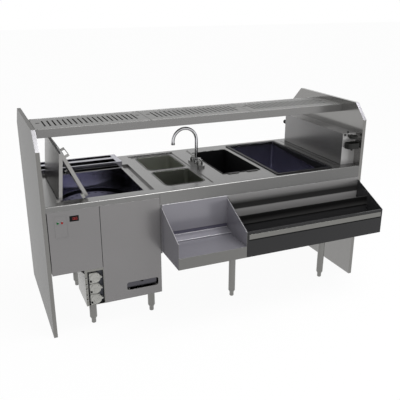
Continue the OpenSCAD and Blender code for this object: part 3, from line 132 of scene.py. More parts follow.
class Graph:
    """The nodes of one material or world, with the few kinds that the finishes share."""

    BUMP_STRENGTH = 0.6
    BEVEL_SAMPLES = 4
    SLOPE_RANGE = (-0.4, -0.2)

    def __init__(self, owner: bpy.types.ID) -> None:
        """Turns on the owner's nodes.

        Args:
            owner: The material or world.
        """
        owner.use_nodes = True
        self.nodes, self.links = owner.node_tree.nodes, owner.node_tree.links
        self.shader = self.nodes.get("Principled BSDF") or self.nodes["Background"]

    @cached_property
    def position(self) -> Socket:
        """The place on the object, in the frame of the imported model."""
        return self.nodes.new("ShaderNodeTexCoord").outputs["Object"]

    def put(self, **values: float | Colour) -> None:
        """Sets inputs of the shader.

        Args:
            values: Each input's value, under its name with lines for spaces.
        """
        for name, value in values.items():
            full = (*value, 1.0) if isinstance(value, tuple) else value
            self.shader.inputs[name.replace("_", " ")].default_value = full

    def drive(self, name: str, value: Socket) -> None:
        """Links a value to the shader's input of that name."""
        self.links.new(value, self.shader.inputs[name])

    def gloss(self, value: Socket, middle: float, sway: Flat) -> None:
        """Makes the shader's roughness follow a value, from below the middle to above it."""
        self.drive("Roughness", self.spread(value, middle + sway[0], middle + sway[1]))

    def noise(self, size: float, grain: Grain = Grain.NONE, detail: float = 2.0) -> Socket:
        """Adds a noise of the given feature size.

        Args:
            size: The size of one feature across the grain.
            grain: The way that the features are drawn out.
            detail: How many finer layers lie on the first.

        Returns:
            The noise's value, from 0 to 1.
        """
        mapping = self.nodes.new("ShaderNodeMapping")
        mapping.inputs["Scale"].default_value = grain.value
        texture = self.nodes.new("ShaderNodeTexNoise")
        texture.inputs["Scale"].default_value = 1.0 / size
        texture.inputs["Detail"].default_value = detail
        self.links.new(self.position, mapping.inputs["Vector"])
        self.links.new(mapping.outputs["Vector"], texture.inputs["Vector"])
        return texture.outputs["Fac"]

    def spread(self, value: Socket, low: float, high: float,
               start: float = 0.3, end: float = 0.7) -> Socket:
        """Maps a value from one range to another.

        Args:
            value: The value to map.
            low: The result at the range's start.
            high: The result at the range's end.
            start: The start of the value's range.
            end: The end of the value's range.

        Returns:
            The mapped value.
        """
        node = self.nodes.new("ShaderNodeMapRange")
        for name, number in (("From Min", start), ("From Max", end), ("To Min", low),
                             ("To Max", high)):
            node.inputs[name].default_value = number
        self.links.new(value, node.inputs["Value"])
        return node.outputs["Result"]

    def between(self, share: Socket, first: Colour | Socket, second: Colour) -> Socket:
        """Mixes two colours.

        Args:
            share: How much of the second colour there is.
            first: The colour at a share of 0.
            second: The colour at a share of 1.

        Returns:
            The mixed colour.
        """
        node = self.nodes.new("ShaderNodeMix")
        node.data_type = "RGBA"
        factor, start, end = node.inputs[0], node.inputs[6], node.inputs[7]
        self.links.new(share, factor)
        if isinstance(first, tuple):
            start.default_value = (*first, 1.0)
        else:
            self.links.new(first, start)
        end.default_value = (*second, 1.0)
        return node.outputs[2]

    def combined(self, way: Combine, first: Socket, second: Socket | float) -> Socket:
        """Combines two values.

        Args:
            way: How they are combined.
            first: The first value.
            second: The second value.

        Returns:
            The result.
        """
        node = self.nodes.new("ShaderNodeMath")
        node.operation = way.value
        self.links.new(first, node.inputs[0])
        if isinstance(second, float):
            node.inputs[1].default_value = second
        else:
            self.links.new(second, node.inputs[1])
        return node.outputs[0]

    def parts(self, vector: Socket) -> bpy.types.NodeOutputs:
        """Splits a vector.

        Args:
            vector: The vector.

        Returns:
            The sockets of its X, Y and Z.
        """
        node = self.nodes.new("ShaderNodeSeparateXYZ")
        self.links.new(vector, node.inputs["Vector"])
        return node.outputs

    def relief(self, height: Socket, depth: float, edge: float) -> None:
        """Gives the shader a fine relief, and rounds the look of the piece's edges.

        Args:
            height: The relief's height, from 0 to 1.
            depth: How deep a height of 1 looks.
            edge: The radius of the rounded edges.
        """
        bump = self.nodes.new("ShaderNodeBump")
        bump.inputs["Distance"].default_value = depth
        bump.inputs["Strength"].default_value = self.BUMP_STRENGTH
        self.links.new(height, bump.inputs["Height"])
        bevel = self.nodes.new("ShaderNodeBevel")
        bevel.samples = self.BEVEL_SAMPLES
        bevel.inputs["Radius"].default_value = edge
        self.links.new(bevel.outputs["Normal"], bump.inputs["Normal"])
        self.drive("Normal", bump.outputs["Normal"])

    def brushed(self, tint: Socket, sheen: "Sheen", grain: Grain) -> None:
        """Makes the shader brushed metal, with fine lines in its gloss and relief.

        Args:
            tint: The metal's colour.
            sheen: How the metal shines.
            grain: The way that the lines run.
        """
        self.drive("Base Color", tint)
        self.put(Metallic=sheen.metal, Specular_IOR_Level=sheen.shine,
                 Specular_Tint=(sheen.grazing,) * 3)
        lines = self.noise(sheen.line_pitch, grain)
        self.gloss(lines, sheen.gloss, sheen.sway)
        self.relief(lines, sheen.line_depth, sheen.edge)

    def slope(self) -> Socket:
        """Finds the faces that slope up to the back, as the panels' top corners do, for a painted
        highlight.

        Returns:
            A value of 1 on those faces and 0 on level and upright ones.
        """
        normal = self.parts(self.nodes.new("ShaderNodeNewGeometry").outputs["Normal"])
        product = self.combined(Combine.PRODUCT, normal["Y"], normal["Z"])
        return self.spread(product, 1, 0, *self.SLOPE_RANGE)

    def shown(self) -> Socket:
        """Finds the rays that show a surface as it is seen.

        Returns:
            A value of 1 for rays from the camera and those in metal and glass, and 0 for the rest.
        """
        rays = self.nodes.new("ShaderNodeLightPath").outputs
        seen = self.combined(Combine.GREATER, rays["Is Camera Ray"], rays["Is Glossy Ray"])
        return self.combined(Combine.GREATER, seen, rays["Is Transmission Ray"])


@dataclass(frozen=True)
class Sheen:
    """How a sheet of metal shines."""

    gloss: float = 0.24
    metal: float = 1.0
    grazing: float = 1.0
    edge: float = 0.0016
    shine: float = 0.5
    sway: Flat = (-0.015, 0.025)
    line_pitch: float = 0.0012
    line_depth: float = 0.000008


@dataclass(frozen=True)
class Finish(ABC):
    """A finish that makes its material once and hands out the same one after that."""

    name: str

    @abstractmethod
    def build(self, graph: Graph) -> None:
        """Draws the finish with the nodes of its material."""

    def material(self) -> Material:
        """Gives the finish's material.

        Returns:
            The material, made on first use.
        """
        known = bpy.data.materials.get(self.name)
        if not known:
            known = bpy.data.materials.new(self.name)
            self.build(Graph(known))
        return known


@dataclass(frozen=True)
class BrushedSteel(Finish):
    """Stainless sheet with a fine brushed grain and the soft clouding of handled metal."""

    tint: Colour
    sheen: Sheen = Sheen()
    grain: Grain = Grain.ALONG_X
    clouding: float = 0.03
    cloud_size: float = 0.35

    def build(self, graph: Graph) -> None:
        """Draws brushed metal with soft clouds in its tint.

        Args:
            graph: The nodes of the finish's material.
        """
        clouds = graph.spread(graph.noise(self.cloud_size, detail=3.0), 0, 1)
        dark, light = scaled(self.tint, 1 - self.clouding), scaled(self.tint, 1 + self.clouding)
        graph.brushed(graph.between(clouds, dark, light), self.sheen, self.grain)


@dataclass(frozen=True)
class LinedSteel(Finish):
    """Stainless sheet with painted light and shade along one axis and a painted corner highlight.
    """

    # The tints before and after the turn stand in for light and shade: painted light and painted
    # shade.
    outside: Colour
    inside: Colour
    turn: float
    sheen: Sheen = Sheen()
    grain: Grain = Grain.ALONG_X
    # The sloping corner's tint is a painted highlight.
    corner: Colour | None = None
    along: Along = Along.Y
    blend: float = 0.0015

    def build(self, graph: Graph) -> None:
        """Draws brushed metal whose painted light and shade change over the blend's length.

        Args:
            graph: The nodes of the finish's material.
        """
        where = graph.parts(graph.position)[self.along.value]
        share = graph.spread(where, 0, 1, self.turn, self.turn + self.blend)
        tint = graph.between(share, self.outside, self.inside)
        if self.corner:
            tint = graph.between(graph.slope(), tint, self.corner)
        graph.brushed(tint, self.sheen, self.grain)


@dataclass(frozen=True)
class BandedSteel(Finish):
    """Sheet with painted reflections: dark and light bands painted at fixed places along one axis.
    """

    # Each band's place and tone: painted reflections.
    bands: tuple[Flat, ...]
    sheen: Sheen = Sheen()
    grain: Grain = Grain.ALONG_X
    along: Along = Along.Z
    # The tint of the painted reflections.
    warmth: Colour = (1.0, 0.985, 0.98)

    def build(self, graph: Graph) -> None:
        """Draws brushed metal whose painted reflection tone follows the place along the axis.

        Args:
            graph: The nodes of the finish's material.
        """
        low, high = self.bands[0][0], self.bands[-1][0]
        ramp = graph.nodes.new("ShaderNodeValToRGB")
        stops = ramp.color_ramp.elements
        while len(stops) < len(self.bands):
            stops.new(1.0)
        for stop, (where, tone) in zip(stops, self.bands):
            stop.position = (where - low) / (high - low)
            stop.color = (*scaled(self.warmth, tone), 1.0)
        where = graph.parts(graph.position)[self.along.value]
        graph.links.new(graph.spread(where, 0, 1, low, high), ramp.inputs["Fac"])
        graph.brushed(ramp.outputs["Color"], self.sheen, self.grain)


@dataclass(frozen=True)
class Chrome(Finish):
    """Bright plated metal with faint water marks."""

    tint: Colour = (0.62, 0.62, 0.64)
    gloss: float = 0.06
    sway: Flat = (0.0, 0.08)
    mark_size: float = 0.006
    dimming: float = 0.9
    depth: float = 0.00001
    edge: float = 0.0004

    def build(self, graph: Graph) -> None:
        """Draws plated metal.

        Args:
            graph: The nodes of the finish's material.
        """
        graph.put(Metallic=1.0)
        marks = graph.noise(self.mark_size, detail=4.0)
        dim = scaled(self.tint, self.dimming)
        graph.drive("Base Color", graph.between(graph.spread(marks, 0, 1), dim, self.tint))
        graph.gloss(marks, self.gloss, self.sway)
        graph.relief(marks, self.depth, self.edge)


@dataclass(frozen=True)
class Moulded(Finish):
    """Moulded plastic or rubber with a fine spark texture and slightly uneven colour."""

    colour: Colour
    gloss: float = 0.4
    texture: float = 0.0008
    depth: float = 0.00004
    edge: float = 0.0006
    shine: float = 0.5
    sway: Flat = (-0.05, 0.08)
    flow_size: float = 0.03
    dimming: float = 0.86

    def build(self, graph: Graph) -> None:
        """Draws moulded plastic.

        Args:
            graph: The nodes of the finish's material.
        """
        graph.put(Specular_IOR_Level=self.shine)
        spark = graph.noise(self.texture)
        flow = graph.spread(graph.noise(self.flow_size), 0, 1)
        dim = scaled(self.colour, self.dimming)
        graph.drive("Base Color", graph.between(flow, dim, self.colour))
        graph.gloss(spark, self.gloss, self.sway)
        graph.relief(spark, self.depth, self.edge)


@dataclass(frozen=True)
class Painted(Finish):
    """Smooth paint or glass with an orange-peel surface and a little dust."""

    colour: Colour
    gloss: float = 0.2
    metal: float = 0.0
    shine: float = 0.5
    sway: Flat = (-0.03, 0.05)
    dust_size: float = 0.12
    dust_gain: float = 1.15
    dust_rise: float = 0.002
    peel_size: float = 0.002
    depth: float = 0.00002
    edge: float = 0.0014

    def build(self, graph: Graph) -> None:
        """Draws paint.

        Args:
            graph: The nodes of the finish's material.
        """
        graph.put(Specular_IOR_Level=self.shine, Metallic=self.metal)
        dust = graph.noise(self.dust_size, detail=4.0)
        pale = scaled(self.colour, self.dust_gain, self.dust_rise)
        graph.drive("Base Color", graph.between(graph.spread(dust, 0, 1), self.colour, pale))
        graph.gloss(dust, self.gloss, self.sway)
        graph.relief(graph.noise(self.peel_size, detail=1.0), self.depth, self.edge)


@dataclass(frozen=True)
class Lit(Finish):
    """A lit segment or lamp behind a tinted window."""

    colour: Colour
    strength: float
    gloss: float = 0.35
    uneven_size: float = 0.004
    dimming: float = 0.8

    def build(self, graph: Graph) -> None:
        """Draws a glow that is uneven as a small lamp's is.

        Args:
            graph: The nodes of the finish's material.
        """
        graph.put(Base_Color=self.colour, Emission_Color=self.colour, Roughness=self.gloss)
        glow = graph.noise(self.uneven_size, detail=1.0)
        graph.drive("Emission Strength",
                    graph.spread(glow, self.strength * self.dimming, self.strength))


class Look:
    """Every finish on the station, named for what wears it."""

    # The left panel's lighter front edge and the right panel's lighter inner face are painted
    # light; the sloping top corners carry a painted highlight.
    left_panel = LinedSteel(
        "left_panel_look", (0.215, 0.212, 0.204), (0.180, 0.177, 0.168), -0.2825,
        Sheen(grazing=0.56), Grain.ALONG_Z, (0.42, 0.415, 0.43))
    right_panel = LinedSteel(
        "right_panel_look", (0.23, 0.226, 0.218), (0.28, 0.276, 0.27), -0.2825,
        Sheen(0.16, 0.9), Grain.ALONG_Z, (0.42, 0.41, 0.44))
    # The worktop darkens to the right of the washer: painted shade.
    worktop = LinedSteel(
        "worktop_steel_look", (0.212, 0.210, 0.207), (0.168, 0.167, 0.165), -0.35,
        Sheen(0.24, 0.95), along=Along.X, blend=0.5)
    skin = BrushedSteel(
        "skin_steel_look", (0.222, 0.216, 0.217), Sheen(0.24, 0.65), Grain.ALONG_Z)
    cabinet = BrushedSteel("cabinet_steel_look", (0.24, 0.238, 0.222), grain=Grain.ALONG_Z)
    # The shelf's lighter tint behind its front strip is painted light.
    shelf = LinedSteel(
        "shelf_steel_look", (0.225, 0.222, 0.219), (0.40, 0.397, 0.39), -0.0545,
        Sheen(0.24, 0.8, 0.5))
    grate = BrushedSteel(
        "grate_steel_look", (0.27, 0.269, 0.263), Sheen(0.3, 0.8, 0.55, 0.0008))
    frame = BrushedSteel("frame_steel_look", (0.23, 0.228, 0.225), Sheen(0.3, 0.8))
    foot = BrushedSteel("foot_steel_look", (0.215, 0.213, 0.205), Sheen(0.3), Grain.ALONG_Z)
    lid = BrushedSteel(
        "lid_steel_look", (0.32, 0.314, 0.308), Sheen(0.24, 0.75), Grain.ALONG_Z)
    # The tub's light bluish tint on the left is a painted reflection, and its dark tint to the
    # right is painted shade.
    tub = LinedSteel(
        "tub_steel_look", (0.66, 0.65, 0.88), (0.075, 0.074, 0.09), -0.58,
        Sheen(0.2, 0.92), Grain.NONE, along=Along.X, blend=0.10)
    # The grille's light violet tint is a painted reflection.
    grille = BrushedSteel("grille_steel_look", (0.36, 0.355, 0.40), Sheen(0.2, edge=0.0008))
    # The scrap tray's dark violet tint is painted shade in its slot.
    scrap = BrushedSteel("scrap_steel_look", (0.085, 0.083, 0.095), Sheen(0.25))
    # The disc's near-black bluish tint is painted shade in the tub.
    disc = BrushedSteel("disc_steel_look", (0.018, 0.0175, 0.026), Sheen(0.16), Grain.NONE)
    # The two bowls are one steel: the front bowl's darker tint is painted shade and the rear bowl's
    # lighter tint is painted light.
    front_bowl = BrushedSteel("front_bowl_look", (0.36, 0.37, 0.335), Sheen(0.3), Grain.NONE)
    rear_bowl = BrushedSteel("rear_bowl_look", (0.58, 0.59, 0.55), Sheen(0.3), Grain.NONE)
    # The liner's bluish tint is a painted reflection.
    liner = BrushedSteel("liner_steel_look", (0.44, 0.435, 0.51), Sheen(0.2), Grain.ALONG_Z)
    drain = BrushedSteel(
        "drain_steel_look", (0.3, 0.3, 0.3), Sheen(0.22, edge=0.0006), Grain.NONE)
    # The step rail's darker front lip is painted shade, and its lighter bluish tint behind it is
    # painted light.
    rail = LinedSteel(
        "rail_steel_look", (0.16, 0.158, 0.152), (0.235, 0.23, 0.256), -0.5375,
        Sheen(0.2, 0.38))
    # The rail back panel's light and dark bands up its height are painted reflections.
    backing = BandedSteel(
        "rail_backing_look",
        ((0.40, 0.3), (0.550, 0.34), (0.594, 0.46), (0.600, 0.05), (0.628, 0.03),
         (0.655, 0.20), (0.69, 0.25)),
        Sheen(0.2, 0.35))
    # The chase's light front face is painted light, and its side, dark at the front and lighter
    # towards the back, is a painted reflection.
    chase = BandedSteel(
        "chase_steel_look",
        ((-0.224, 0.46), (-0.2215, 0.46), (-0.2205, 0.12), (0.02, 0.17), (0.3, 0.27),
         (0.48, 0.28)),
        Sheen(0.22, 0.3), Grain.ALONG_Z, Along.Y)
    filler = BrushedSteel(
        "filler_steel_look", (0.2, 0.195, 0.2), Sheen(0.24, 0.4), Grain.ALONG_Z)
    # The black rail's lighter tint behind its front lip is painted light.
    black_sheet = LinedSteel(
        "black_sheet_look", (0.016, 0.016, 0.017), (0.045, 0.045, 0.047), -0.5365,
        Sheen(0.22, 0.25, shine=0.4))
    # The guard's dark and light bands up its height are painted reflections.
    guard = BandedSteel(
        "guard_look",
        ((0.536, 0.012), (0.540, 0.006), (0.5425, 0.006), (0.546, 0.042), (0.553, 0.036),
         (0.562, 0.02), (0.575, 0.004), (0.5945, 0.004), (0.5955, 0.02)),
        Sheen(0.4, 0.0, shine=0.12))
    strip = BrushedSteel("strip_steel_look", (0.20, 0.198, 0.188))
    chrome = Chrome("tap_chrome_look")
    valve = Chrome("tap_valve_look", (0.24, 0.24, 0.235), 0.1)
    aerator = Chrome("aerator_look", (0.3, 0.3, 0.3), 0.2)
    black_plastic = Moulded("black_plastic_look", (0.010, 0.010, 0.009), 0.42, shine=0.25)
    tray_plastic = Moulded("tray_plastic_look", (0.011, 0.011, 0.012), shine=0.12)
    rubber = Moulded("black_rubber_look", (0.006, 0.006, 0.0065), 0.6, 0.0012, shine=0.1)
    nylon = Moulded("nylon_look", (0.42, 0.42, 0.40), 0.45)
    pump = Moulded("pump_plastic_look", (0.40, 0.40, 0.375), 0.36)
    rotor = Moulded("rotor_plastic_look", (0.06, 0.06, 0.07))
    motor = Painted("motor_paint_look", (0.05, 0.055, 0.07), 0.35, 0.2)
    bezel = Moulded("bezel_plastic_look", (0.006, 0.006, 0.0065), shine=0.1)
    window = Painted("window_look", (0.02, 0.003, 0.003), 0.12, shine=0.2)
    film = Moulded("control_film_look", (0.10, 0.099, 0.099), 0.3, 0.0006, 0.00001)
    green = Moulded("green_button_look", (0.006, 0.12, 0.028), 0.3, shine=0.2)
    red = Moulded("red_button_look", (0.30, 0.012, 0.012), 0.3, shine=0.2)
    digits = Lit("digit_look", (0.42, 0.015, 0.012), 0.16)
    bead = BrushedSteel(
        "bead_steel_look", (0.115, 0.114, 0.11), Sheen(0.3, 0.9, 0.7), Grain.NONE)
    # Painted shade: the dark band in the step rail's recess.
    painted_shade_band = BrushedSteel("painted_shade_band_look", (0.085, 0.08, 0.115), Sheen(0.3, 0.3))
    # Painted highlights: light rods and strips along edges that catch the light.
    bright = BrushedSteel(
        "painted_highlight_edge_look", (0.62, 0.61, 0.63), Sheen(0.3, 0.6, edge=0.0004), Grain.NONE)
    tab = Moulded("tab_plastic_look", (0.06, 0.06, 0.058), 0.5, shine=0.3)
    black_screw = Painted("black_screw_look", (0.012, 0.012, 0.013), 0.3, 0.3)
    screw = Chrome("steel_screw_look", (0.3, 0.3, 0.3), 0.2)


# Mesh making


def circle(radius: float, steps: int) -> list[Flat]:
    """Gives the corners of a many-sided circle about zero, anticlockwise."""
    turns = [2 * math.pi * step / steps for step in range(steps)]
    return [(radius * math.cos(turn), radius * math.sin(turn)) for turn in turns]


def box(wide: Flat, high: Flat) -> list[Flat]:
    """Gives a rectangle's outline from where its left and right, lower and upper sides are."""
    (left, right), (foot, top) = wide, high
    return [(left, foot), (right, foot), (right, top), (left, top)]


def rounded(width: float, height: float, radius: float, steps: int = 6) -> list[Flat]:
    """Gives the outline of a rectangle with round corners, about its centre.

    Args:
        width: The rectangle's width.
        height: The rectangle's height.
        radius: The corners' radius.
        steps: How many sides each corner has.

    Returns:
        The outline's corners, anticlockwise.
    """
    outline = []
    for sign_x, sign_y, start in ((1, 1, 0), (-1, 1, 90), (-1, -1, 180), (1, -1, 270)):
        for step in range(steps + 1):
            angle = math.radians(start + 90 * step / steps)
            outline.append((
                sign_x * (width / 2 - radius) + radius * math.cos(angle),
                sign_y * (height / 2 - radius) + radius * math.sin(angle)))
    return outline


class Former:
    """Makes one piece out of turned, cut and swept forms."""

    SMOOTH_UNDER_DEGREES = 32.0

    def __init__(self) -> None:
        """Starts with an empty mesh."""
        self.mesh = bmesh.new()

    def turned(self, profile: Outline, base: Vector, axis: Axis, steps: int) -> "Former":
        """Adds a form turned about an axis.

        Args:
            profile: Radius and height of each step, from one end to the other.
            base: The place of height zero on the axis.
            axis: The way that heights grow.
            steps: How many faces go round.

        Returns:
            The same former.
        """
        seat = Matrix.Translation(base) @ axis.turn
        rings = []
        for radius, height in profile:
            corners = circle(radius, steps) if radius > 0 else [(0, 0)]
            rings.append([self.mesh.verts.new(seat @ Vector((x, y, height)))
                          for x, y in corners])
        return self._joined(rings, capped=False)

    def plate(self, outline: Outline, base: Vector, axis: Axis, thickness: float,
              ease: float = 0.0) -> "Former":
        """Adds a flat plate cut to an outline.

        Args:
            outline: The outline's corners, along the two directions across the plate.
            base: The place of the outline's zero, on the plate's back.
            axis: The way that the plate's face looks.
            thickness: The plate's thickness.
            ease: How far the face's outline is drawn in, for an eased edge.

        Returns:
            The same former.
        """
        across, up = axis.across
        count = len(outline)
        middle = Vector((sum(c[0] for c in outline), sum(c[1] for c in outline))) / count
        levels = [(0.0, 0.0), (thickness, ease)]
        if ease:
            levels.insert(1, (thickness - ease, 0.0))
        rings = []
        for height, inset in levels:
            ring = []
            for corner in outline:
                away = Vector(corner) - middle
                flat = middle + away * (1 - inset / away.length)
                ring.append(self.mesh.verts.new(
                    base + across * flat[0] + up * flat[1] + axis.vector * height))
            rings.append(ring)
        return self._joined(rings, capped=True)

    def ring(self, loops: Sequence[tuple[Outline, float]], base: Vector, axis: Axis) -> "Former":
        """Adds an open frame or bead through outlines that lie one inside the other.

        Args:
            loops: Each outline with its height, from the outer foot over the top to the inner one.
            base: The place of the outlines' zero.
            axis: The way that heights grow.

        Returns:
            The same former.
        """
        across, up = axis.across
        return self._joined([
            [self.mesh.verts.new(base + across * x + up * y + axis.vector * height)
             for x, y in outline] for outline, height in loops], capped=False)

    def swept(self, path: Sequence[Vector], radius: float, steps: int = 12) -> "Former":
        """Adds a round rod along a path.

        Args:
            path: The points of the rod's centre line.
            radius: The rod's radius.
            steps: How many faces go round.

        Returns:
            The same former.
        """
        rings = []
        for index, point in enumerate(path):
            ahead = path[min(index + 1, len(path) - 1)] - path[max(index - 1, 0)]
            turn = ahead.to_track_quat("Z", "Y").to_matrix()
            rings.append([self.mesh.verts.new(point + turn @ Vector((x, y, 0)))
                          for x, y in circle(radius, steps)])
        return self._joined(rings, capped=True)

    def _joined(self, rings: Sequence[list[bmesh.types.BMVert]], capped: bool) -> "Former":
        """Joins each ring to the next one. The first or the last may be a single point.

        Args:
            rings: The rings' corners.
            capped: Whether both ends are closed.

        Returns:
            The same former.
        """
        for below, above in zip(rings, rings[1:]):
            steps = max(len(below), len(above))
            for step in range(steps):
                after = (step + 1) % steps
                if len(below) == 1:
                    face = (below[0], above[after], above[step])
                elif len(above) == 1:
                    face = (below[step], below[after], above[0])
                else:
                    face = (below[step], below[after], above[after], above[step])
                self.mesh.faces.new(face)
        if capped:
            self.mesh.faces.new(rings[-1])
            self.mesh.faces.new(list(reversed(rings[0])))
        return self

    def ended(self, name: str) -> bpy.types.Object:
        """Turns the mesh into an object of the scene.

        Args:
            name: The object's name.

        Returns:
            The new object.
        """
        data = bpy.data.meshes.new(name)
        self.mesh.to_mesh(data)
        self.mesh.free()
        made = bpy.data.objects.new(name, data)
        bpy.context.scene.collection.objects.link(made)
        return made

    def piece(self, name: str, finish: Finish, slot: str, body: str = "station") -> None:
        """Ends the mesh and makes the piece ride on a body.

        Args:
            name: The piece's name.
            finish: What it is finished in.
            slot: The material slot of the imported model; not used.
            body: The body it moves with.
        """
        bmesh.ops.recalc_face_normals(self.mesh, faces=self.mesh.faces[:])
        made = self.ended(name)
        made.data.shade_smooth()
        made.data.set_sharp_from_angle(angle=math.radians(self.SMOOTH_UNDER_DEGREES))
        made.data.materials.append(finish.material())
        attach(made, body)
        LOG.info("piece %s on %s, %d faces", name, body, len(made.data.polygons))


@dataclass(frozen=True)
class Screw:
    """A pan-head screw with a cross on its crown."""

    radius: float = 0.0022
    height: float = 0.001
    crown_shares: tuple[Flat, ...] = (
        (1.0, 0.0), (1.0, 0.35), (0.86, 0.75), (0.6, 1.0), (0.35, 1.0), (0.0, 0.4))
    sides: int = 20
    cross_share: float = 0.55
    cross_slimness: float = 5.0
    cross_rise_share: float = 0.06

    def add(self, former: Former, seat: Vector, axis: Axis) -> None:
        """Adds one screw head.

        Args:
            former: What the head is added to.
            seat: The middle of the face that the head sits on.
            axis: The way that the head looks.
        """
        crown = [(self.radius * out, self.height * up) for out, up in self.crown_shares]
        former.turned(crown, seat, axis, self.sides)
        across, up = axis.across
        arm = self.radius * self.cross_share
        top = seat + axis.vector * self.height * (1 + self.cross_rise_share)
        for first, second in ((across, up), (up, across)):
            long, slim = first * arm, second * arm / self.cross_slimness
            former.mesh.faces.new([former.mesh.verts.new(top + corner) for corner in (
                long + slim, slim - long, -long - slim, long - slim)])


# Sub-assemblies


@dataclass
class SubAssembly:
    """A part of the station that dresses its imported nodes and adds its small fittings."""

    worn: ClassVar[tuple[tuple, ...]] = ()

    def dress(self, nodes: dict[str, bpy.types.Object]) -> None:
        """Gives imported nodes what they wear.

        Args:
            nodes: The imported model's nodes by name.
        """
        for finish, *names in self.worn:
            for name in names:
                nodes[name].material_slots[0].material = finish.material()
                LOG.info("node %s wears %s", name, finish.name)

    def fit(self) -> None:
        """Adds the small fittings, if there are any."""


class EndPanels(SubAssembly):
    """The two full-height end panels."""

    worn = ((Look.left_panel, "left_end_panel"), (Look.right_panel, "right_end_panel"))


@dataclass
class WorktopAndFrame(SubAssembly):
    """The worktop, the frame under it and the legs."""

    worn = ((Look.worktop, "worktop"), (Look.frame, "under_frame"),
            (Look.foot, "leg_tubes", "bullet_feet"))
    top: float = 0.762
    height: float = 0.0005
    recess_x: Flat = (0.735, 0.955)
    recess_y: Flat = (-0.0055, 0.0)
    recess_back: float = 0.7565
    recess_ease: float = 0.0002
    seals_x: tuple[float, ...] = (1.8275, 1.8615)
    seal_y: Flat = (0.064, 0.744)
    seal_wide: float = 0.0024

    def fit(self) -> None:
        """Adds the painted highlight on the recess's rear edge and the seals along the hose chase.
        """
        # The strip on the recess's rear edge is a painted highlight.
        Former().plate(
            box(self.recess_x, self.recess_y), place(y=self.recess_back, z=self.top), Axis.UP,
            self.height, self.recess_ease).piece("recess_painted_highlight_edge", Look.bright, "worktop_steel")
        seals = Former()
        for x in self.seals_x:
            seals.plate(box((x, x + self.seal_wide), self.seal_y), place(z=self.top),
                        Axis.UP, self.height)
        seals.piece("chase_foot_seals", Look.rubber, "black_rubber")


@dataclass
class Overshelf(SubAssembly):
    """The drain shelf between the end panels."""

    worn = ((Look.shelf, "overshelf_tray"),
            (Look.grate, "drain_grate_left", "drain_grate_centre", "drain_grate_right"))
    rivets_x: tuple[float, ...] = (0.0475, 0.6735, 1.3085, 1.9355)
    rivets_y: tuple[float, ...] = (0.2375, 0.5145)
    rivet: tuple[Flat, ...] = ((0.004, 0.0), (0.0038, 0.0008), (0.0025, 0.0014), (0.0, 0.0016))
    top: float = 1.112

    def fit(self) -> None:
        """Adds the rivets along the tray's rims."""
        rivets = Former()
        for y in self.rivets_y:
            for x in self.rivets_x:
                rivets.turned(self.rivet, place(x, y, self.top), Axis.UP, steps=16)
        rivets.piece("shelf_rivets", Look.black_screw, "body_steel")


class Segments(Enum):
    """The strokes of a seven-stroke digit, as their ends on a grid one wide and two high."""

    TOP = ((0, 2), (1, 2))
    MIDDLE = ((0, 1), (1, 1))
    BOTTOM = ((0, 0), (1, 0))
    UPPER_LEFT = ((0, 1), (0, 2))
    UPPER_RIGHT = ((1, 1), (1, 2))
    LOWER_LEFT = ((0, 0), (0, 1))
    LOWER_RIGHT = ((1, 0), (1, 1))


STROKES: dict[str, list[Segments]] = {
    "0": [stroke for stroke in Segments if stroke is not Segments.MIDDLE],
    "6": [stroke for stroke in Segments if stroke is not Segments.UPPER_RIGHT],
}


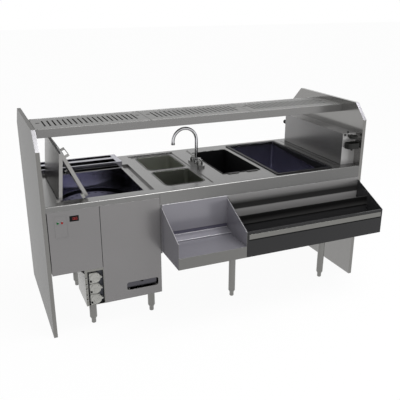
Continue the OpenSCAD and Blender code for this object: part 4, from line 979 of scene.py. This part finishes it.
@dataclass
class Washer(SubAssembly):
    """The glass washer's body, its front skins and its controls."""

    worn = ((Look.cabinet, "washer_cabinet"), (Look.skin, "control_panel", "service_panel"),
            (Look.scrap, "scrap_tray"), (Look.bezel, "display_bezel"),
            (Look.window, "display_window"), (Look.green, "start_button"),
            (Look.red, "stop_button"))
    film_middle: Flat = (0.0905, 0.6455)
    film_size: Flat = (0.066, 0.122)
    film_corner: float = 0.004
    film_edge: float = 0.0007
    film_depth: float = 0.0004
    buttons: tuple[Flat, ...] = ((0.075, 0.669), (0.097, 0.668))
    collar: tuple[Flat, ...] = (
        (0.0078, 0.0), (0.0078, 0.00072), (0.0074, 0.0012), (0.0062, 0.0012), (0.0062, 0.0))
    reading: str = "060"
    digit_left: float = 0.1535
    digit_bottom: float = 0.6775
    digit_size: Flat = (0.0062, 0.0115)
    digit_pitch: float = 0.0085
    digit_y: float = -0.0009
    digit_depth: float = 0.0002
    stroke: float = 0.0012
    stroke_gap_share: float = 1.2
    filler_x: Flat = (0.6292, 0.6408)
    filler_z: Flat = (0.395, 0.6935)
    filler_y: float = 0.004
    filler_depth: float = 0.0015
    filler_ease: float = 0.0003
    joints: tuple[tuple[Flat, Flat, float], ...] = (
        ((0.2947, 0.2973), (0.376, 0.734), 0.0018), ((0.6311, 0.6331), (0.395, 0.6935), 0.0028),
        ((0.6312, 0.6326), (0.694, 0.753), 0.0005))
    joint_depth: float = 0.0006

    def fit(self) -> None:
        """Adds the control film, the collars, the reading, the filler strip and the seals."""
        self.control_film()
        self.button_collars()
        self.display_reading()
        self.filler_strip()
        self.joint_seals()

    def control_film(self) -> None:
        """Adds the raised edge of the thin film behind the buttons."""
        wide, high = self.film_size
        edge, depth = self.film_edge, self.film_depth
        outer = rounded(wide, high, self.film_corner)
        inner = rounded(wide - 2 * edge, high - 2 * edge, self.film_corner - edge)
        x, z = self.film_middle
        loops = ((outer, 0.0), (outer, depth), (inner, depth), (inner, 0.0))
        Former().ring(loops, place(x, z=z), Axis.FRONT).piece(
            "control_film_edge", Look.film, "body_steel")

    def button_collars(self) -> None:
        """Adds a thin collar round each button."""
        collars = Former()
        for x, z in self.buttons:
            collars.turned(self.collar, place(x, z=z), Axis.FRONT, steps=28)
        collars.piece("button_collars", Look.screw, "body_steel")

    def display_reading(self) -> None:
        """Adds the red strokes of the display's reading."""
        former = Former()
        for index, digit in enumerate(self.reading):
            left = self.digit_left + index * self.digit_pitch
            for stroke in STROKES[digit]:
                self._stroke(former, left, stroke)
        former.piece("display_reading", Look.digits, "display_glass")

    def _stroke(self, former: Former, left: float, stroke: Segments) -> None:
        """Adds one stroke of a digit.

        Args:
            former: What the stroke is added to.
            left: The digit's left side.
            stroke: Which stroke it is.
        """
        (x0, z0), (x1, z1) = stroke.value
        wide, high = self.digit_size
        half = self.stroke / 2
        flat = z0 == z1
        reach = ((wide if flat else high / 2) - self.stroke * self.stroke_gap_share) / 2
        middle = place(left + wide * (x0 + x1) / 2, self.digit_y,
                       self.digit_bottom + high / 2 * (z0 + z1) / 2)
        ends = [(-reach, 0), (-reach + half, -half), (reach - half, -half),
                (reach, 0), (reach - half, half), (-reach + half, half)]
        outline = ends if flat else [(-z, x) for x, z in ends]
        former.plate(outline, middle, Axis.FRONT, self.digit_depth)

    def filler_strip(self) -> None:
        """Adds the upright strip that closes the gap between the washer and the step rail."""
        Former().plate(
            box(self.filler_x, self.filler_z), place(y=self.filler_y), Axis.FRONT,
            self.filler_depth, self.filler_ease).piece(
                "rail_filler_strip", Look.filler, "body_steel")

    def joint_seals(self) -> None:
        """Adds the dark joints of the skins."""
        seals = Former()
        for wide, high, back in self.joints:
            seals.plate(box(wide, high), place(y=back), Axis.FRONT, self.joint_depth)
        seals.piece("skin_joint_seals", Look.rubber, "body_steel")


class WashTub(SubAssembly):
    """The tub, its turning disc and the works under it."""

    worn = ((Look.tub, "wash_tub", "spray_manifold"), (Look.disc, "glass_carousel"),
            (Look.motor, "carousel_gearmotor", "wash_pump"))


class FoldingLid(SubAssembly):
    """The two-leaf folding lid, what it runs on, its switch and the grille behind it."""

    worn = ((Look.lid, "lid_lower_leaf", "lid_upper_leaf", "lid_handle", "lid_pivot_brackets"),
            (Look.drain, "lid_fold_pins"), (Look.nylon, "lid_slide_feet"),
            (Look.black_plastic, "lid_switch"), (Look.grille, "rear_grille"))


@dataclass
class DosingPumps(SubAssembly):
    """The three dosing pumps in their bay."""

    worn = ((Look.pump, "pump_heads"),
            (Look.rotor, "pump_rotor_upper", "pump_rotor_middle", "pump_rotor_lower"),
            (Look.motor, "pump_chassis"), (Look.drain, "pump_fittings"))
    middle_x: float = 0.247
    middles_z: tuple[float, ...] = (0.1865, 0.2515, 0.3165)
    boss_at: Flat = (0.007, -0.007)
    boss: tuple[Flat, ...] = (
        (0.017, 0.0), (0.017, 0.0007), (0.016, 0.0014), (0.013, 0.0014), (0.012, 0.00084),
        (0.004, 0.00084), (0.0035, 0.0014), (0.0, 0.0014))
    screws_at: tuple[Flat, ...] = ((-0.020, 0.019), (0.016, 0.020), (0.016, -0.021))
    screw: Screw = Screw()
    port_at: Flat = (-0.024, -0.014)
    port: tuple[Flat, ...] = ((0.0055, 0.0), (0.0055, 0.0028), (0.0044, 0.004), (0.0, 0.004))

    def on_face(self, z: float, at: Flat) -> Vector:
        """Finds a place on a head's face, from the height of its middle and the way off it."""
        return place(self.middle_x + at[0], 0.0, z + at[1])

    def fit(self) -> None:
        """Adds the round boss, the screws and the hose port on each head's face."""
        bosses, screws, ports = Former(), Former(), Former()
        for z in self.middles_z:
            bosses.turned(self.boss, self.on_face(z, self.boss_at), Axis.FRONT, steps=40)
            for at in self.screws_at:
                self.screw.add(screws, self.on_face(z, at), Axis.FRONT)
            ports.turned(self.port, self.on_face(z, self.port_at), Axis.FRONT, steps=20)
        ports.piece("pump_hose_ports", Look.rubber, "pump_plastic")
        bosses.piece("pump_head_bosses", Look.pump, "pump_plastic")
        screws.piece("pump_head_screws", Look.screw, "pump_plastic")


@dataclass
class SinkBowls(SubAssembly):
    """The two drawn bowls and their wastes."""

    worn = ((Look.front_bowl, "front_bowl"), (Look.rear_bowl, "rear_bowl"),
            (Look.drain, "bowl_strainers", "bowl_tailpieces"))
    mouths: tuple[tuple[Flat, Flat], ...] = (
        ((0.8295, 0.2435), (0.235, 0.275)), ((0.8295, 0.5675), (0.235, 0.299)))
    deck: float = 0.758
    corner: float = 0.03
    bead: tuple[Flat, ...] = ((0.012, 0.0), (0.0085, 0.0016), (0.0035, 0.0016), (0.0005, 0.0))

    def fit(self) -> None:
        """Adds the raised bead round each bowl's mouth."""
        beads = Former()
        for (x, y), (wide, deep) in self.mouths:
            beads.ring([
                (rounded(wide + 2 * out, deep + 2 * out, self.corner + out), height)
                for out, height in self.bead], place(x, y, self.deck), Axis.UP)
        beads.piece("bowl_mouth_beads", Look.bead, "body_steel")


class GooseneckTap(SubAssembly):
    """The gooseneck tap with its two levers."""

    worn = ((Look.chrome, "tap_spout"),
            (Look.valve, "tap_base", "tap_front_lever", "tap_rear_lever"),
            (Look.aerator, "tap_aerator"))


@dataclass
class BottleWell(SubAssembly):
    """The black insert that hangs in the worktop."""

    worn = ((Look.tray_plastic, "bottle_tray"),)
    tabs_x: tuple[Flat, ...] = ((1.1235, 1.1925), (1.2525, 1.3215))
    tab_y: Flat = (0.1522, 0.1585)
    top: float = 0.765
    height: float = 0.0003

    def fit(self) -> None:
        """Adds the lighter pads on the front tabs' tops, a painted highlight."""
        # The lighter pads on the tabs' tops are a painted highlight.
        pads = Former()
        for tab_x in self.tabs_x:
            pads.plate(box(tab_x, self.tab_y), place(z=self.top), Axis.UP, self.height)
        pads.piece("insert_tab_pads", Look.tab, "black_plastic", "bottle_insert")


@dataclass
class IceBin(SubAssembly):
    """The insulated ice bin."""

    worn = ((Look.liner, "ice_bin_liner"), (Look.tray_plastic, "ice_bin_rim"),
            (Look.frame, "ice_bin_jacket"), (Look.drain, "ice_bin_drain"))
    right_x: float = 1.7608
    # Outlines of the painted shade at the top of the right and back walls.
    right_shade: tuple[Flat, ...] = (
        (0.043, 0.708), (0.737, 0.748), (0.737, 0.7618), (0.043, 0.7618))
    back_y: float = 0.7378
    back_shade: tuple[Flat, ...] = (
        (1.402, 0.752), (1.760, 0.748), (1.760, 0.7618), (1.402, 0.7618))
    depth: float = 0.0006

    def fit(self) -> None:
        """Adds painted shade at the top of the right and back walls."""
        # The dark plates are painted shade under the rim.
        shade_plates = Former()
        right = [(-y, z) for y, z in reversed(self.right_shade)]
        shade_plates.plate(right, place(self.right_x), Axis.LEFT, self.depth)
        shade_plates.plate(self.back_shade, place(y=self.back_y), Axis.FRONT, self.depth)
        shade_plates.piece("bin_wall_painted_shade", Look.tray_plastic, "black_plastic")


@dataclass
class HoseChase(SubAssembly):
    """The hose chase with the holster and the drip cup."""

    worn = ((Look.chase, "gun_chase"), (Look.rubber, "hose_grommet"),
            (Look.black_plastic, "gun_holster", "drip_cup"))
    face_y: float = 0.062
    knobs: tuple[Flat, ...] = ((1.8775, 0.9535), (1.8985, 0.9695))
    knob: tuple[Flat, ...] = (
        (0.0055, 0.0), (0.0055, 0.0055), (0.004125, 0.00825), (0.0, 0.0088))
    collar_at: Point = (1.8809, 0.7635, 0.8966)
    collar: tuple[Flat, ...] = (
        (0.0087, 0.0), (0.0145, 0.0), (0.0145, 0.014), (0.0116, 0.02), (0.0087, 0.02),
        (0.0087, 0.0))

    def fit(self) -> None:
        """Adds the two black knobs in front and the hose collar behind."""
        knobs = Former()
        for x, z in self.knobs:
            knobs.turned(self.knob, place(x, self.face_y, z), Axis.FRONT, steps=20)
        knobs.piece("chase_front_knobs", Look.rubber, "black_plastic")
        Former().turned(self.collar, place(*self.collar_at), Axis.BACK, steps=28).piece(
            "chase_hose_collar", Look.rubber, "black_plastic")


@dataclass
class Rails(SubAssembly):
    """The step rail and the black bottle rail."""

    worn = ((Look.rail, "step_rail"), (Look.backing, "rail_back_panel"),
            (Look.black_sheet, "speed_rail"), (Look.guard, "speed_rail_guard"),
            (Look.strip, "speed_rail_strip"))
    plates_x: tuple[float, ...] = (0.641, 1.043)
    plate_edge: tuple[Flat, ...] = ((0.001, 0.6705), (-0.2535, 0.5555))
    plate_radius: float = 0.0011
    step_x: Flat = (0.6425, 1.0415)
    step_edges: tuple[Point, ...] = (
        (-0.0575, 0.4817, 0.0009), (-0.0015, 0.4972, 0.0009), (-0.0035, 0.6875, 0.0011))
    band_z: Flat = (0.4992, 0.5178)
    band_y: float = -0.0001
    shadow_x: Flat = (1.0565, 1.9515)
    shadow_z: Flat = (0.5035, 0.5105)
    shadow_y: float = -0.254
    depth: float = 0.0006

    def fit(self) -> None:
        """Adds the step rail's painted highlight edges and painted shade band, and a painted shadow
        line under the strip.
        """
        edges = Former()
        # The rods along the side plates' and steps' edges are painted highlights.
        for x in self.plates_x:
            edges.swept([place(x, y, z) for y, z in self.plate_edge], self.plate_radius)
        for y, z, radius in self.step_edges:
            edges.swept([place(x, y, z) for x in self.step_x], radius)
        edges.piece("step_rail_painted_highlight_edges", Look.bright, "rail_steel")
        band, line = box(self.step_x, self.band_z), box(self.shadow_x, self.shadow_z)
        # The band is painted shade in the step rail's recess.
        Former().plate(band, place(y=self.band_y), Axis.FRONT, self.depth).piece(
            "step_rail_painted_shade_band", Look.painted_shade_band, "rail_steel")
        # The line under the strip is a painted shadow.
        Former().plate(line, place(y=self.shadow_y), Axis.FRONT, self.depth).piece(
            "strip_painted_shadow_line", Look.rubber, "black_steel")


# Studio


@dataclass(frozen=True)
class Studio:
    """A plain pale floor, plain soft light and the camera."""

    camera_place: Point = (-1.2887, -3.03595, 1.7724)
    camera_turn: Point = (70.0, 0.0, -22.99)
    camera_lens: float = 50.68
    camera_sensor: float = 36.0
    camera_reach: float = 100.0
    floor_half: float = 30.0
    floor_colour: Colour = (0.85, 0.85, 0.85)
    floor_gloss: float = 0.9
    floor_lift: float = 0.95
    world_for_shade: float = 0.66
    softbox_place: Point = (1.1, -1.3, 3.9)
    softbox_aim: Point = (0.2, -0.2, 0.9)
    softbox_size: Flat = (3.2, 1.8)
    softbox_power: float = 120.0

    def build(self) -> None:
        """Builds the studio."""
        self.world()
        self.floor()
        self.softbox()
        self.camera()

    def world(self) -> None:
        """Makes a white world that shades evenly and shows white to the camera and in metal."""
        world = bpy.data.worlds.new("studio_world")
        bpy.context.scene.world = world
        graph = Graph(world)
        graph.put(Color=(1.0, 1.0, 1.0))
        graph.drive("Strength", graph.spread(graph.shown(), self.world_for_shade, 1.0, 0.0, 1.0))

    def floor(self) -> None:
        """Lays the floor, pale and with a soft shadow on it."""
        former = Former()
        sides = (-self.floor_half, self.floor_half)
        former.mesh.faces.new([former.mesh.verts.new((x, y, 0.0)) for x, y in box(sides, sides)])
        floor = former.ended("studio_floor")
        floor.data.materials.append(self._floor_material())

    def _floor_material(self) -> Material:
        """Makes the floor's material, lifted towards white where it is seen.

        Returns:
            The material.
        """
        material = bpy.data.materials.new("floor_look")
        graph = Graph(material)
        graph.put(Base_Color=self.floor_colour, Roughness=self.floor_gloss, Specular_IOR_Level=0.0)
        glow = graph.nodes.new("ShaderNodeEmission")
        glow.inputs["Strength"].default_value = 1.0
        mix = graph.nodes.new("ShaderNodeMixShader")
        share = graph.combined(Combine.PRODUCT, graph.shown(), self.floor_lift)
        for index, source in enumerate((share, graph.shader.outputs[0], glow.outputs[0])):
            graph.links.new(source, mix.inputs[index])
        graph.links.new(mix.outputs[0], graph.nodes["Material Output"].inputs["Surface"])
        return material

    def softbox(self) -> None:
        """Hangs the large soft lamp over the station's front."""
        lamp = bpy.data.lights.new("softbox", "AREA")
        lamp.shape = "RECTANGLE"
        lamp.size, lamp.size_y = self.softbox_size
        lamp.energy = self.softbox_power
        hung = bpy.data.objects.new("softbox", lamp)
        hung.location = self.softbox_place
        away = Vector(self.softbox_place) - Vector(self.softbox_aim)
        hung.rotation_euler = away.to_track_quat("Z", "Y").to_euler()
        bpy.context.scene.collection.objects.link(hung)

    def camera(self) -> None:
        """Sets the camera up where the photograph was taken from."""
        lens = bpy.data.cameras.new("camera")
        lens.lens = self.camera_lens
        lens.sensor_width = self.camera_sensor
        lens.clip_end = self.camera_reach
        camera = bpy.data.objects.new("camera", lens)
        camera.location = self.camera_place
        camera.rotation_euler = [math.radians(angle) for angle in self.camera_turn]
        bpy.context.scene.collection.objects.link(camera)
        bpy.context.scene.camera = camera
        bpy.context.scene.view_settings.view_transform = "Standard"


def main() -> None:
    """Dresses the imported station, fits the small pieces and sets up the studio."""
    logging.basicConfig(level=logging.INFO, format="%(name)s: %(message)s")
    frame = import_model()
    nodes = frame["nodes"]
    for part in (EndPanels, WorktopAndFrame, Overshelf, Washer, WashTub, FoldingLid, DosingPumps,
                 SinkBowls, GooseneckTap, BottleWell, IceBin, HoseChase, Rails):
        built = part()
        built.dress(nodes)
        built.fit()
    Studio().build()


if __name__ == "__main__":
    main()
